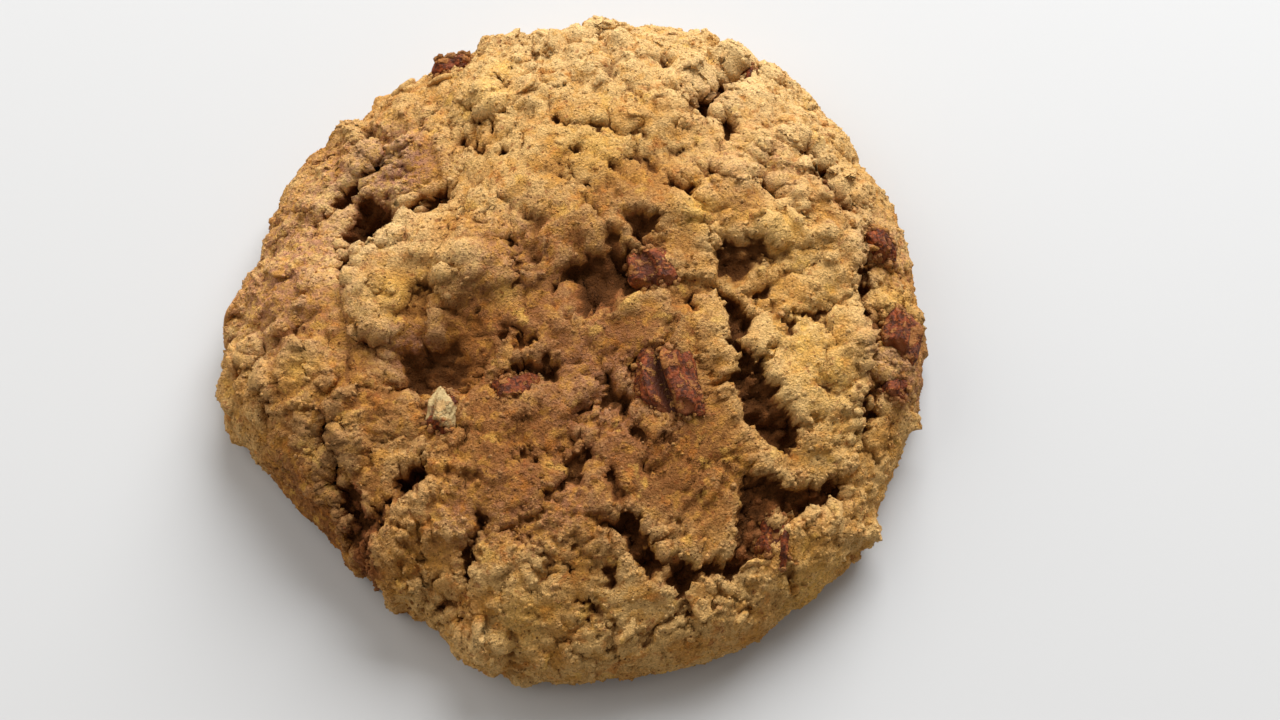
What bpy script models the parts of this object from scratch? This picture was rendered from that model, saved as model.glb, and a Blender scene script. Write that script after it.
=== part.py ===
"""One oatmeal cookie with nut pieces, about 95 mm across, as Blender solids in metres with +Z up.

The dough is a grid wrapped round a low mound: its plan follows the rim's radii, and its top carries ledges,
cracks, pits, lumps and oat flakes. Each nut piece is a solid of its own and sits in a pocket cut for it.
"""

import math

import bmesh
import bpy
import numpy as np

MM = 0.001

# Driving sizes of the cookie
WIDTH = 95.5 * MM
DEPTH = 94.0 * MM
HEIGHT = 22.0 * MM

# The rim's radius at each 15 degrees, anticlockwise from +X
RIM_STEP = 15
RIM_RADII = (48.4, 49, 48, 49.5, 48.7, 48.5, 45.4, 43.7, 43.6, 42.5, 45.9, 44.2,
             46.2, 47, 43.2, 42.4, 43.2, 44.8, 47.3, 48, 48.6, 48.8, 47.6, 48.6)

# The mound's section: a superellipse above its widest ring, and a rounded lip that tucks in below it.
# Broad relief lifts it upwards, and sideways only by this share
LIP_HEIGHT = 3.2 * MM
LIP_TUCK = 2.2 * MM
MOUND_POWER = 2.35
TOP_SHARE = 0.94
CREST_SPACE = 3.0 * MM
SIDEWAYS = 0.35

# Resolution of the grid before it is thinned, and the triangles that stay
GRID_CELLS = 168
BASE_CELLS = GRID_CELLS // 3
DOUGH_TRIANGLES = 9600
BASE_SNAP = 0.25 * MM
BASE_SHARE = 0.985
LEAST_HEIGHT = 1.2 * MM
LEAST_EDGE = 0.005 * MM

# Broad swellings and hollows of the top: x, y, radius, height
MASSES = (
    (12, 14, 20, 2.4), (0, 27, 14, 1.6), (-1, -30, 18, 1.6), (31, -11, 9, 1.4), (-33, -7, 10, 1.0),
    (-17, -10, 8, -2.4), (26, 4, 8, -1.2), (-29, 17, 8, -1.2), (33, 26, 9, 0.8), (-14, 33, 9, 0.8),
    (31, -33, 6, 0.8), (20, -40, 5, 0.8), (-34, -19, 5, 0.8), (-12, 31, 3, 0.9), (7.4, -0.4, 1.5, 2.2),
    (15.9, 11.9, 1.8, 1.3), (26.6, 10.2, 3.2, 1.4), (22.4, 18.2, 2.4, 1.2), (-11.2, 29.6, 2.4, 1.2),
    (-9.8, 34.6, 1.4, 0.8),
)

# Ledges: the ground to the left of each line stands higher by the rise, and falls back over the fade
LEDGES = (
    (2.6, 9, ((-20, 15), (-22, 12.5), (-24, 9.5), (-26.5, 6), (-27.5, 1.5), (-28, -1.5), (-26, -4.5),
              (-21.5, -5.5))),
    (2.2, 12, ((-10, 20), (-12, 13), (-13, 9.5), (-15, 6), (-17, 2.5), (-18, -0.5), (-18.5, -4),
               (-12.5, -5))),
    (2.2, 9, ((-45, -10), (-38.5, -17), (-35.5, -21), (-32, -24.5), (-29.5, -27.5), (-27, -32.5),
              (-18, -41))),
    (2.0, 14, ((-18.5, -22.5), (-22, -26), (-24, -29), (-25.5, -32.5), (-23.5, -35.5), (-20, -38))),
    (1.8, 8, ((34, -26), (37.5, -20), (40, -13), (40.5, -4), (39, 2), (39.5, 9), (37.5, 14), (34.5, 19),
              (30, 23))),
    (1.6, 5, ((26.5, 37.5), (30, 35.5), (32, 34.5), (35, 32))),
    (2.4, 5, ((-4.5, 39), (0, 40), (4, 41.5), (6, 43.5))),
)

# Open cracks: half width, depth, then the points that they pass
CRACKS = (
    # The canyon right of the middle, the hollow below it and the way down to the rim
    (1.2, 3.8, ((21.5, 1.5), (22.6, -2.4), (23.4, -6), (24, -10), (25, -13))),
    (2.7, 3.7, ((23.8, -7), (24.8, -11.5), (26, -15), (28.5, -17.5), (31, -18.8))),
    (2.2, 3.6, ((21.8, -25), (26.5, -25.3), (30.5, -26.5), (34.5, -24.3), (37, -22))),
    (2.1, 3.2, ((25.2, -25), (24.9, -28.5), (24.3, -31.5), (22.4, -35))),
    (1.1, 3.4, ((24.5, -32), (21.5, -35), (18.5, -35.4), (14, -36.8))),
    (1.5, 3.8, ((6.4, -27.4), (8.4, -30.5), (10.4, -33.2), (12.2, -35.8))),
    (0.6, 1.4, ((18.5, -37), (15.5, -40), (12.5, -42.2), (8.5, -44.6))),
    # Thin cracks between the plates of the lower half
    (0.6, 2.0, ((3.3, -18.4), (2.7, -21.3), (1.5, -22.6), (0.4, -24.8), (-1, -26.5), (-2.4, -28.2))),
    (0.5, 1.8, ((7.6, -22), (6.5, -25.2), (7.2, -28))),
    (0.5, 1.6, ((8.4, -16.4), (9.4, -18.4), (10.2, -20.5), (11.8, -24.6))),
    (0.6, 1.7, ((0.6, -16.8), (3.6, -14.9), (6, -14.5), (7.6, -12.6))),
    (0.8, 2.3, ((-9.6, -27), (-10.6, -31.7), (-11.8, -34.7), (-12.9, -38), (-15.4, -39.6))),
    (0.8, 2.0, ((-16.4, -38.2), (-12.4, -40.1), (-8.8, -41.8))),
    (0.4, 1.3, ((-6.2, -37.2), (-7.7, -39.7), (-8.5, -41.6))),
    (0.4, 1.3, ((-3, -32.2), (-1.9, -35.4), (-4.6, -38))),
    (0.6, 1.6, ((1.6, -39.2), (4.5, -40.5), (7.4, -42.2))),
    (0.4, 1.4, ((6.4, -31.4), (4.6, -29.8), (2.6, -28.8))),
    (0.4, 1.3, ((-18.4, -22.9), (-12.4, -24.2), (-8.6, -24.9))),
    (0.4, 1.1, ((17, -23.5), (19.5, -21.4), (22.4, -19.8))),
    (0.4, 1.4, ((14.4, -17), (17.2, -15.3), (20, -13.4))),
    # Grooves between the lumps of the left side
    (1.3, 3.6, ((-30.2, -12), (-30.2, -17), (-29.6, -21.5), (-27.8, -26), (-25.5, -30), (-24.5, -34.4))),
    (0.9, 2.4, ((-41.3, -2), (-40.6, -8), (-39.4, -12), (-37.2, -17.5))),
    (1.2, 3.2, ((-27.4, 10.4), (-29.4, 7), (-30.6, 3))),
    (0.9, 3.6, ((-26, 12.8), (-23.9, 13.9), (-21.5, 13.6), (-19, 13.9), (-16.5, 15.6), (-14.8, 16.2))),
    (1.2, 3.4, ((-33, 14.5), (-30.7, 16.8), (-28.9, 18.9), (-26.3, 21.2), (-24.5, 22.8), (-22, 23.6))),
    (0.9, 2.8, ((-22, -26), (-23.6, -29.3), (-25.3, -31.6), (-25.4, -34.2), (-22.4, -36.2))),
    # The groove inside the right rim, and the clefts of the top edge
    (1.6, 4.0, ((29.2, 24.2), (32.6, 23), (34.7, 20.1), (35.7, 17.4), (37.5, 15.6), (39.6, 12.6))),
    (1.0, 2.8, ((39.4, 13), (40, 7.8), (39.4, 2), (40.8, -2), (41.5, -6), (40.3, -9.5), (40, -13),
                (38.8, -17.6))),
    (1.3, 3.2, ((25.4, 19), (26.8, 17.4), (28.6, 15.2), (30, 12))),
    (1.7, 3.6, ((16.6, 26.2), (19, 29.6), (21, 32.4), (23.4, 36.2), (26, 39))),
    (0.8, 2.6, ((-3, 41.6), (0, 40.6), (3.4, 41.4), (5.4, 43))),
    (1.0, 2.0, ((12.4, 41), (14.2, 36.2), (15.8, 31.3), (16.8, 26.4))),
    (0.6, 2.2, ((-15, 29.6), (-12.6, 26.7), (-9.2, 25.4))),
    (0.4, 1.8, ((-12.5, 26.7), (-9.8, 26.9), (-5.4, 29.5))),
    (0.4, 1.5, ((-3, 26.8), (-0.4, 25.1), (2.2, 25.1), (5.2, 24.2))),
    # Small cracks near the middle
    (0.4, 1.4, ((6.6, 20.4), (9.7, 19.7), (11.8, 19.3))),
    (0.4, 1.6, ((-8.6, 8.2), (-6.5, 5.1), (-5.9, 1))),
    (0.4, 1.5, ((-1.6, 3.2), (-1.1, -1), (-0.1, -3), (1.6, -4.7))),
    (0.6, 2.0, ((-8.6, -4), (-5.8, -5.5), (-4, -7.2))),
    (0.8, 3.0, ((5.2, -9.8), (7, -13), (8.8, -17))),
    (0.6, 1.8, ((24.2, 1), (26.4, 2), (28.6, 2.8))),
    (0.5, 1.6, ((28.8, -5), (30.7, -2.3), (35.2, -0.8))),
    (0.4, 1.5, ((34, -5.8), (34.9, -7.4), (36, -9.2))),
    (0.5, 1.4, ((32, -9.2), (34.7, -12.4), (38, -13.8))),
)

# Pits: x, y, the two half widths, the turn in degrees, the depth
PITS = (
    (-27.4, 12.4, 4.8, 3.3, 36, 5.5), (-34, 13.5, 1.0, 1.6, 0, 3.0), (-25, -5.5, 1.4, 1.0, -20, 3.8),
    (-17.6, -8.6, 5.8, 3.6, -5, 1.8), (-33.4, -8.4, 0.9, 1.5, 0, 2.6), (-20.3, -24.4, 3.3, 1.5, 45, 5.6),
    (-5, -11, 3.5, 1.8, 12, 3.6), (6.0, 2.8, 6.4, 5.0, 12, 3.4), (3.2, 2.6, 2.2, 4.2, 10, 4.6),
    (8.8, 4.6, 2.8, 1.8, 0, 3.8), (10.4, 10, 2.6, 1.4, 0, 3.4), (23.4, 6.4, 4.2, 3.4, 20, 2.2),
    (16.6, -0.4, 1.3, 0.9, -30, 2.8), (19.6, 17.6, 0.9, 1.2, 0, 2.2), (15.4, 14.9, 1.7, 0.8, 0, 2.8),
    (22.3, 26.2, 1.2, 2.2, 15, 2.4), (15.7, 24.9, 0.8, 0.6, 0, 2.4), (15.4, -36.6, 2.7, 2.4, 0, 4.4),
    (6.1, -36.6, 1.0, 0.8, 20, 2.2), (0.4, -36.2, 0.5, 1.0, 10, 2.0), (-8.8, 33.3, 1.5, 0.7, 10, 2.4),
    (-4.5, 35.7, 0.9, 0.7, 0, 2.0), (-13, 22.9, 0.8, 1.3, 25, 2.0), (-8.8, 21, 0.9, 0.6, -20, 2.2),
    (-5.7, 21.4, 0.5, 1.1, 10, 2.2),
)

# Shares of a line's length over which a crack narrows and a ledge sinks at each end
CRACK_TAPER = 0.2
LEDGE_TAPER = 0.15

# A pit reaches its full depth at the first share of its half widths and ends at the second
PIT_FLOOR = 0.55
PIT_EDGE = 1.25
PIT_UNEVENNESS = (3.0 * MM, 0.35, 37)

# Where the dough is lumpy rather than crusted over: x, y, radius. Elsewhere the lumps are this low
LUMPY_PLACES = (
    (-37, -1, 15), (-30, -14, 10), (-27, 27, 10), (32, 16, 13), (-10, 38, 11),
    (20, 36, 12), (38, -28, 7), (43, -4, 7), (-8, -43, 8), (-14, 8, 7), (4, 38, 9),
)
PLAIN_LUMPINESS = 0.1

# Lumps of dough over the oats: their spacing, height and seed, and how far noise moves them, in spacings
LUMPS = ((5.8 * MM, 3.3 * MM, 3), (3.1 * MM, 1.3 * MM, 4))
LUMP_DRIFT = 0.38
DRIFT_SIZE = 0.7
DRIFT_SEED = 60
LEAST_LUMP = 0.25
LUMP_REACH = 0.9
CREASE_WIDTH = 0.4
CREASE_SHARE = 0.45

# Oat flakes that show as low plates in the dough
FLAKE_COUNT = 40
FLAKE_LENGTH = (3.2 * MM, 5.2 * MM)
FLAKE_ROUNDNESS = (0.6, 0.85)
FLAKE_RISE = (0.3 * MM, 0.7 * MM)
FLAKE_LEAN = 0.12
FLAKE_RIM = 0.22
FLAKE_SEED = 11
FLAKE_SPREAD = 0.94
FLAKE_TURN_JITTER = 0.3
FLAKE_REACH_JITTER = 1.0 * MM
SUNFLOWER_TURN = 137.508

# Noise that tears edges, swells the top, roughens floors and creases the surface: size, amount, seed
RAGGED = ((4.2 * MM, 1.2 * MM, 21), (1.9 * MM, 0.8 * MM, 22), (0.95 * MM, 0.45 * MM, 23))
SWELL = (9.0 * MM, 0.9 * MM, 31)
ROUGH_FLOOR = (2.2 * MM, 0.4, 35)
CREASES = ((4.4 * MM, 0.8 * MM, 6), (2.1 * MM, 0.5 * MM, 7))
MEAN_BILLOW = 0.25
EDGE_SOFTNESS = 0.65 * MM
CRACK_SLOPE = 0.6
CRACK_SHOULDER = 0.4

# Brings the blended slopes of a noise to about -1 to 1
NOISE_GAIN = 1.6

# Nut pieces: name, x, y, the middle's height above the dough, half sizes, turn and lean in degrees, seed
NUTS = (
    ("nut_ridged", 12.2, -10.8, -1.7, (4.1, 6.0, 2.6), 12, 8, 1),
    ("nut_pale", -16.0, -14.4, -1.0, (2.1, 3.2, 2.4), -14, 12, 2),
    ("nut_sunk", -7.0, -11.6, 0.3, (2.9, 2.0, 1.8), 22, 0, 3),
    ("nut_rim_right", 42.4, -2.4, -1.3, (2.6, 4.2, 3.0), -6, 20, 4),
    ("nut_rim_low", 41.2, -9.8, -0.9, (1.7, 1.9, 1.7), 10, 0, 5),
    ("nut_rim_high", 40.4, 9.8, -1.0, (1.7, 2.8, 1.9), 14, 10, 6),
    ("nut_valley", 25.2, -30.0, -0.7, (2.2, 3.4, 2.0), -10, 0, 7),
    ("nut_crevice", 23.0, 35.8, -0.5, (1.6, 2.3, 1.6), -30, 0, 8),
    ("nut_hole", 10.2, 4.2, -0.3, (3.2, 3.2, 2.1), 20, 0, 9),
    ("nut_upper", 28.3, 15.2, -0.9, (1.2, 2.8, 1.5), 34, 0, 10),
    ("nut_back", -17.2, 37.0, -0.8, (2.6, 1.4, 1.4), 22, 0, 11),
)
NUT_SMOOTHNESS = {"nut_ridged": 3}
PLAIN_SMOOTHNESS = 2
NUT_BLUNTNESS = 3.2
FURROW_DEPTH = 0.34
FURROW_WIDTH = 0.24
FURROW_PLACE = -0.1
FURROW_START = -0.3
CHIP_DEPTH = 0.16
CHIP_SIZE = 0.9
POCKET_GAP = 0.4 * MM

DOUGH_ROUGHNESS = 0.85
NUT_ROUGHNESS = 0.5
DOUGH_COLOUR = (0.47, 0.27, 0.11, 1.0)
NUT_COLOUR = (0.24, 0.07, 0.03, 1.0)
PALE_NUT_COLOUR = (0.66, 0.52, 0.28, 1.0)


def smooth(t):
    """A number that eases from 0 to 1 as t goes from 0 to 1."""
    t = np.clip(t, 0.0, 1.0)
    return t * t * (3.0 - 2.0 * t)


def cell_number(cells, seed):
    """A repeatable number from 0 to 1 for each whole-numbered cell: its coordinates mixed by odd factors."""
    mixed = cells[..., 0] * 374761393 + cells[..., 1] * 668265263 + cells[..., 2] * 362437 + seed * 97531
    mixed = ((mixed & 0xFFFFFFFF) ^ ((mixed & 0xFFFFFFFF) >> 13)) * 1274126177 & 0xFFFFFFFF
    return ((mixed ^ (mixed >> 16)) & 0xFFFFFF) / float(0xFFFFFF)


def soft_noise(points, size, seed):
    """Gradient noise from about -1 to 1: each cell corner has a slope, and their heights are blended."""
    scaled = points / size
    cell = np.floor(scaled).astype(np.int64)
    inside = scaled - cell
    eased = inside ** 3 * (inside * (inside * 6.0 - 15.0) + 10.0)
    total = np.zeros(len(points))
    for corner in np.ndindex(2, 2, 2):
        at = cell + corner
        slope = np.stack([cell_number(at, seed * 7 + axis) * 2.0 - 1.0 for axis in range(3)], axis=-1)
        weight = np.prod(np.where(np.array(corner) == 1, eased, 1.0 - eased), axis=-1)
        total += weight * np.sum(slope * (inside - corner), axis=-1)
    return total * NOISE_GAIN


def drift(points, size, seed):
    """Three soft noises as a vector, which pushes places out of true."""
    return np.stack([soft_noise(points, size, seed + 10 * axis) for axis in range(3)], axis=1)


def flat(plan):
    """Plan coordinates with a height of nothing added."""
    return np.column_stack([plan, np.zeros(len(plan))])


def nearest_lump(points, spacing, seed):
    """Distances, in spacings, to the nearest and the next lump's middle, and the nearest one's number."""
    scaled = points / spacing
    cell = np.floor(scaled).astype(np.int64)
    nearest = np.full(len(points), 9.0)
    second = np.full(len(points), 9.0)
    own = np.zeros(len(points))
    for step in np.ndindex(3, 3, 3):
        at = cell + np.array(step) - 1
        middle = at + np.stack([cell_number(at, seed * 5 + axis) for axis in range(3)], axis=-1)
        distance = np.linalg.norm(scaled - middle, axis=-1)
        closer = distance < nearest
        second = np.where(closer, nearest, np.minimum(second, distance))
        nearest = np.where(closer, distance, nearest)
        own = np.where(closer, cell_number(at, seed * 5 + 3), own)
    return nearest, second, own


def line_distance(plan, corners):
    """Distance from points to a line through corners, positive to its left, and how far along each lies."""
    corners = np.array(corners, float) * MM
    lengths = np.linalg.norm(np.diff(corners, axis=0), axis=1)
    before = np.concatenate([[0.0], np.cumsum(lengths)])
    nearest = np.full(len(plan), 1.0)
    signed = np.zeros(len(plan))
    along = np.zeros(len(plan))
    for start, end, length, run in zip(corners[:-1], corners[1:], lengths, before):
        way = (end - start) / length
        offset = plan - start
        reach = np.clip(offset @ way, 0.0, length)
        distance = np.linalg.norm(offset - reach[:, None] * way, axis=1)
        side = np.where(way[0] * offset[:, 1] - way[1] * offset[:, 0] >= 0.0, 1.0, -1.0)
        closer = distance < nearest
        nearest = np.where(closer, distance, nearest)
        signed = np.where(closer, distance * side, signed)
        along = np.where(closer, (run + reach) / before[-1], along)
    return signed, along


def turned(plan, x, y, degrees):
    """Plan coordinates about the point x, y, along axes turned by the angle."""
    angle = math.radians(degrees)
    offset = plan - np.array([x, y])
    return np.stack([offset @ [math.cos(angle), math.sin(angle)],
                     offset @ [-math.sin(angle), math.cos(angle)]], axis=1)


def mass_height(plan):
    """Broad swellings, each a bell of its radius and height."""
    total = np.zeros(len(plan))
    for x, y, radius, height in MASSES:
        away = np.linalg.norm(plan - np.array([x, y]) * MM, axis=1)
        total += height * MM * np.exp(-((away / (radius * MM)) ** 2))
    return total


def ledge_height(plan):
    """Ledges: a steep step up at each line that dies away behind it and towards the line's ends."""
    total = np.zeros(len(plan))
    for rise, fade, corners in LEDGES:
        signed, along = line_distance(plan, corners)
        ends = smooth(along / LEDGE_TAPER) * smooth((1.0 - along) / LEDGE_TAPER)
        step = smooth(signed / EDGE_SOFTNESS * 0.5 + 0.5) * np.exp(-np.maximum(signed, 0.0) / (fade * MM))
        total += rise * MM * ends * step
    return total


def crack_depth(plan):
    """Cracks: steep walls and a flat floor, narrowing to both ends. Where they meet, the deeper counts."""
    deepest = np.zeros(len(plan))
    for half_width, depth, corners in CRACKS:
        signed, along = line_distance(plan, corners)
        taper = np.sqrt(smooth(along / CRACK_TAPER) * smooth((1.0 - along) / CRACK_TAPER))
        within = (half_width * MM * taper - np.abs(signed)) / EDGE_SOFTNESS
        inside = smooth(within * CRACK_SLOPE + CRACK_SHOULDER)
        deepest = np.maximum(deepest, depth * MM * inside * taper)
    return deepest


def pit_depth(plan):
    """Pits: ellipses, uneven by a noise, with steep walls and a rounded floor."""
    deepest = np.zeros(len(plan))
    size, amount, seed = PIT_UNEVENNESS
    uneven = 1.0 + amount * soft_noise(flat(plan), size, seed)
    for x, y, along, across, turn, depth in PITS:
        local = turned(plan, x * MM, y * MM, turn) / (np.array([along, across]) * MM)
        away = np.linalg.norm(local, axis=1) * uneven
        deepest = np.maximum(deepest, depth * MM * smooth((PIT_EDGE - away) / (PIT_EDGE - PIT_FLOOR)))
    return deepest


def lumpiness(plan):
    """The share of their full height that lumps have at each place: nearly all in the lumpy places."""
    share = np.full(len(plan), PLAIN_LUMPINESS)
    for x, y, radius in LUMPY_PLACES:
        away = np.linalg.norm(plan - np.array([x, y]) * MM, axis=1)
        share = np.maximum(share, np.exp(-((away / (radius * MM)) ** 2)))
    return share


def lump_height(points):
    """Domed lumps of two sizes, lower where two of them meet, so that a crease parts them."""
    total = np.zeros(len(points))
    for spacing, height, seed in LUMPS:
        moved = points + LUMP_DRIFT * spacing * drift(points, spacing * DRIFT_SIZE, seed + DRIFT_SEED)
        away, second, own = nearest_lump(moved, spacing, seed)
        dome = np.sqrt(np.clip(1.0 - (away / LUMP_REACH) ** 2, 0.0, 1.0))
        parted = 1.0 - CREASE_SHARE * (1.0 - smooth((second - away) / CREASE_WIDTH))
        total += height * (LEAST_LUMP + (1.0 - LEAST_LUMP) * own) * dome * parted
    return total * lumpiness(points[:, :2])


def flake_places():
    """The oat flakes, spread evenly over the top: x, y, half length, half width, turn, rise and lean."""
    draw = np.random.default_rng(FLAKE_SEED)
    rows = []
    for number in range(FLAKE_COUNT):
        away = FLAKE_SPREAD * math.sqrt((number + 0.5) / FLAKE_COUNT)
        jitter = draw.uniform(-FLAKE_TURN_JITTER, FLAKE_TURN_JITTER)
        around = number * math.radians(SUNFLOWER_TURN) + jitter
        half = draw.uniform(*FLAKE_LENGTH) / 2
        reach = away * WIDTH / 2 + draw.uniform(-FLAKE_REACH_JITTER, FLAKE_REACH_JITTER)
        x, y = reach * math.cos(around), reach * math.sin(around)
        half_width = half * draw.uniform(*FLAKE_ROUNDNESS)
        rows.append((x, y, half, half_width, draw.uniform(0, 180), draw.uniform(*FLAKE_RISE),
                     draw.uniform(-FLAKE_LEAN, FLAKE_LEAN)))
    return rows


def flake_height(plan):
    """Oat flakes: flat plates with a sharp rim and a slight lean. Where two cross, the higher one counts."""
    highest = np.zeros(len(plan))
    for x, y, half_length, half_width, turn, rise, lean in flake_places():
        local = turned(plan, x, y, turn)
        away = np.linalg.norm(local / [half_length, half_width], axis=1)
        plate = (rise + lean * local[:, 0]) * smooth((1.0 - away) / FLAKE_RIM)
        highest = np.maximum(highest, plate)
    return highest


def concentric(cells):
    """A square grid pressed into a disc: the angle and the share of the radius at each corner."""
    line = np.linspace(-1.0, 1.0, cells + 1)
    across, up = np.meshgrid(line, line, indexing="xy")
    share = np.maximum(np.abs(across), np.abs(up))
    safe = np.where(share == 0.0, 1.0, share)
    within = np.where(np.abs(across) >= np.abs(up), up / safe, -across / safe) * math.pi / 4
    quarter = np.where(np.abs(across) >= np.abs(up),
                       np.where(across >= 0.0, 0.0, math.pi),
                       np.where(up >= 0.0, math.pi / 2, -math.pi / 2))
    sign = np.where((np.abs(across) >= np.abs(up)) & (across < 0.0), -1.0, 1.0)
    sign = np.where((np.abs(across) < np.abs(up)) & (up < 0.0), -1.0, sign)
    return (quarter + within * sign).ravel(), share.ravel()


def rim_ring(cells):
    """The numbers of a grid's edge corners, anticlockwise from its first corner."""
    side = cells + 1
    bottom = np.arange(0, cells)
    right = np.arange(0, cells) * side + cells
    top = cells * side + np.arange(cells, 0, -1)
    left = np.arange(cells, 0, -1) * side
    return np.concatenate([bottom, right, top, left])


def grid_faces(cells, start, flip):
    """The squares of a grid, facing up, or down where flip is set."""
    side = cells + 1
    corner = (np.arange(cells)[:, None] * side + np.arange(cells)[None, :]).ravel() + start
    faces = np.stack([corner, corner + 1, corner + side + 1, corner + side], axis=1)
    return faces[:, ::-1] if flip else faces


def rim_radius(angle):
    """The rim's radius in a direction: the listed radii joined by a smooth periodic curve."""
    radii = np.array(RIM_RADII) * MM
    steps = (np.degrees(angle) % 360.0) / RIM_STEP
    low = np.floor(steps).astype(int)
    part = steps - low
    before, here, after, beyond = (radii[(low + k) % len(radii)] for k in (-1, 0, 1, 2))
    bend = 2 * before - 5 * here + 4 * after - beyond
    twist = -before + 3 * here - 3 * after + beyond
    return here + 0.5 * part * ((after - before) + part * (bend + part * twist))


def mound(angle, share):
    """The plain mound without relief: places, outward directions, and how much relief each place takes."""
    radius = rim_radius(angle)
    tall = HEIGHT - LIP_HEIGHT - CREST_SPACE
    rise = np.clip(share / TOP_SHARE, 0.0, 1.0) * math.pi / 2
    tuck = np.clip((share - TOP_SHARE) / (1.0 - TOP_SHARE), 0.0, 1.0) * math.pi / 2
    out = np.sin(rise) ** (2 / MOUND_POWER)
    up = np.maximum(np.cos(rise), 1e-9) ** (2 / MOUND_POWER)
    up = np.where(share >= TOP_SHARE, 0.0, up)
    reach = radius * out - LIP_TUCK * (1.0 - np.cos(tuck))
    height = LIP_HEIGHT * (1.0 - np.sin(tuck)) + tall * up
    outward = np.where(share < TOP_SHARE, out ** (MOUND_POWER - 1) / radius, np.cos(tuck))
    upward = np.where(share < TOP_SHARE, up ** (MOUND_POWER - 1) / tall, -np.sin(tuck))
    size = np.hypot(outward, upward)
    around = np.stack([np.cos(angle), np.sin(angle)], axis=1)
    places = np.column_stack([around * reach[:, None], height])
    directions = np.column_stack([around * (outward / size)[:, None], upward / size])
    return places, directions, 1.0 - smooth(tuck / (math.pi / 2))


def broad_relief(plan):
    """How far the dough stands out from the mound: masses, ledges and swell, less the hollows."""
    torn = plan + sum(amount * drift(flat(plan), size, seed)[:, :2] for size, amount, seed in RAGGED)
    size, amount, seed = ROUGH_FLOOR
    rough = 1.0 + amount * soft_noise(flat(plan), size, seed)
    hollow = np.maximum(crack_depth(torn), pit_depth(torn)) * rough
    size, amount, seed = SWELL
    swell = amount * soft_noise(flat(plan), size, seed)
    return mass_height(plan) + ledge_height(torn) + swell - hollow


def fine_relief(places):
    """Lumps, flakes and creases that stand on the broad relief."""
    raised = lump_height(places) + flake_height(places[:, :2])
    for size, amount, seed in CREASES:
        raised += amount * (np.abs(soft_noise(places, size, seed)) - MEAN_BILLOW)
    return raised


def dough_grid():
    """The dough as one closed mesh: the relief on the top grid, a flat base of cells three times as wide."""
    angle, share = concentric(GRID_CELLS)
    places, directions, take = mound(angle, share)
    top = places + directions * [SIDEWAYS, SIDEWAYS, 1.0] * (broad_relief(places[:, :2]) * take)[:, None]
    top += directions * (fine_relief(top) * take)[:, None]
    least = LEAST_HEIGHT * np.clip((1.0 - share) / (1.0 - TOP_SHARE), 0.0, 1.0)
    top[:, 2] = np.maximum(top[:, 2], least)
    rim, inner_rim = rim_ring(GRID_CELLS), rim_ring(BASE_CELLS)
    base_angle, base_share = concentric(BASE_CELLS)
    edge = np.linalg.norm(top[rim, :2], axis=1)
    edge_angle = np.unwrap(np.arctan2(top[rim, 1], top[rim, 0]))
    base_edge = np.interp(base_angle, edge_angle - 2 * math.pi, edge)
    base_edge = np.where(base_angle > edge_angle[0] - 1e-9,
                         np.interp(base_angle, edge_angle, edge), base_edge)
    reach = base_share * BASE_SHARE * base_edge
    base = np.column_stack([np.cos(base_angle) * reach, np.sin(base_angle) * reach, np.zeros(len(reach))])
    start = len(top)
    faces = [grid_faces(GRID_CELLS, 0, False), grid_faces(BASE_CELLS, start, True)]
    coarse = inner_rim + start
    fine_after, coarse_after = np.roll(rim, -1), np.roll(coarse, -1)
    owner = (np.arange(len(rim)) + 1) // 3 % len(coarse)
    strip = np.stack([fine_after, rim, coarse[owner]], axis=1)
    middle = np.arange(len(coarse)) * 3 + 1
    joins = np.stack([rim[middle + 1], coarse, coarse_after], axis=1)
    triangles = [strip.tolist(), joins.tolist()]
    return np.vstack([top, base]), [f.tolist() for f in faces] + triangles


def new_object(name, places, faces, colour, roughness):
    """An object from places and faces, with a plain material of its own."""
    mesh = bpy.data.meshes.new(name)
    mesh.from_pydata([tuple(p) for p in places], [], faces)
    mesh.validate()
    body = bpy.data.objects.new(name, mesh)
    bpy.context.scene.collection.objects.link(body)
    paint = bpy.data.materials.new(name)
    paint.use_nodes = True
    shader = paint.node_tree.nodes["Principled BSDF"]
    shader.inputs["Base Color"].default_value = colour
    shader.inputs["Roughness"].default_value = roughness
    mesh.materials.append(paint)
    return body


def apply_modifiers(body):
    """Replaces an object's mesh by what its modifiers make of it."""
    seen = body.evaluated_get(bpy.context.evaluated_depsgraph_get())
    made = bpy.data.meshes.new_from_object(seen)
    old = body.data
    body.modifiers.clear()
    body.data = made
    bpy.data.meshes.remove(old)


def keep_largest(body):
    """Merges corners that all but meet, then deletes all but the largest set of faces that share edges."""
    edit = bmesh.new()
    edit.from_mesh(body.data)
    bmesh.ops.remove_doubles(edit, verts=edit.verts, dist=LEAST_EDGE)
    left = set(edit.faces)
    pieces = []
    while left:
        piece, front = set(), [next(iter(left))]
        while front:
            face = front.pop()
            if face in piece:
                continue
            piece.add(face)
            front.extend(other for edge in face.edges for other in edge.link_faces)
        pieces.append(piece)
        left -= piece
    pieces.sort(key=len)
    scraps = [face for piece in pieces[:-1] for face in piece]
    bmesh.ops.delete(edit, geom=scraps, context="FACES")
    edit.to_mesh(body.data)
    edit.free()


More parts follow.
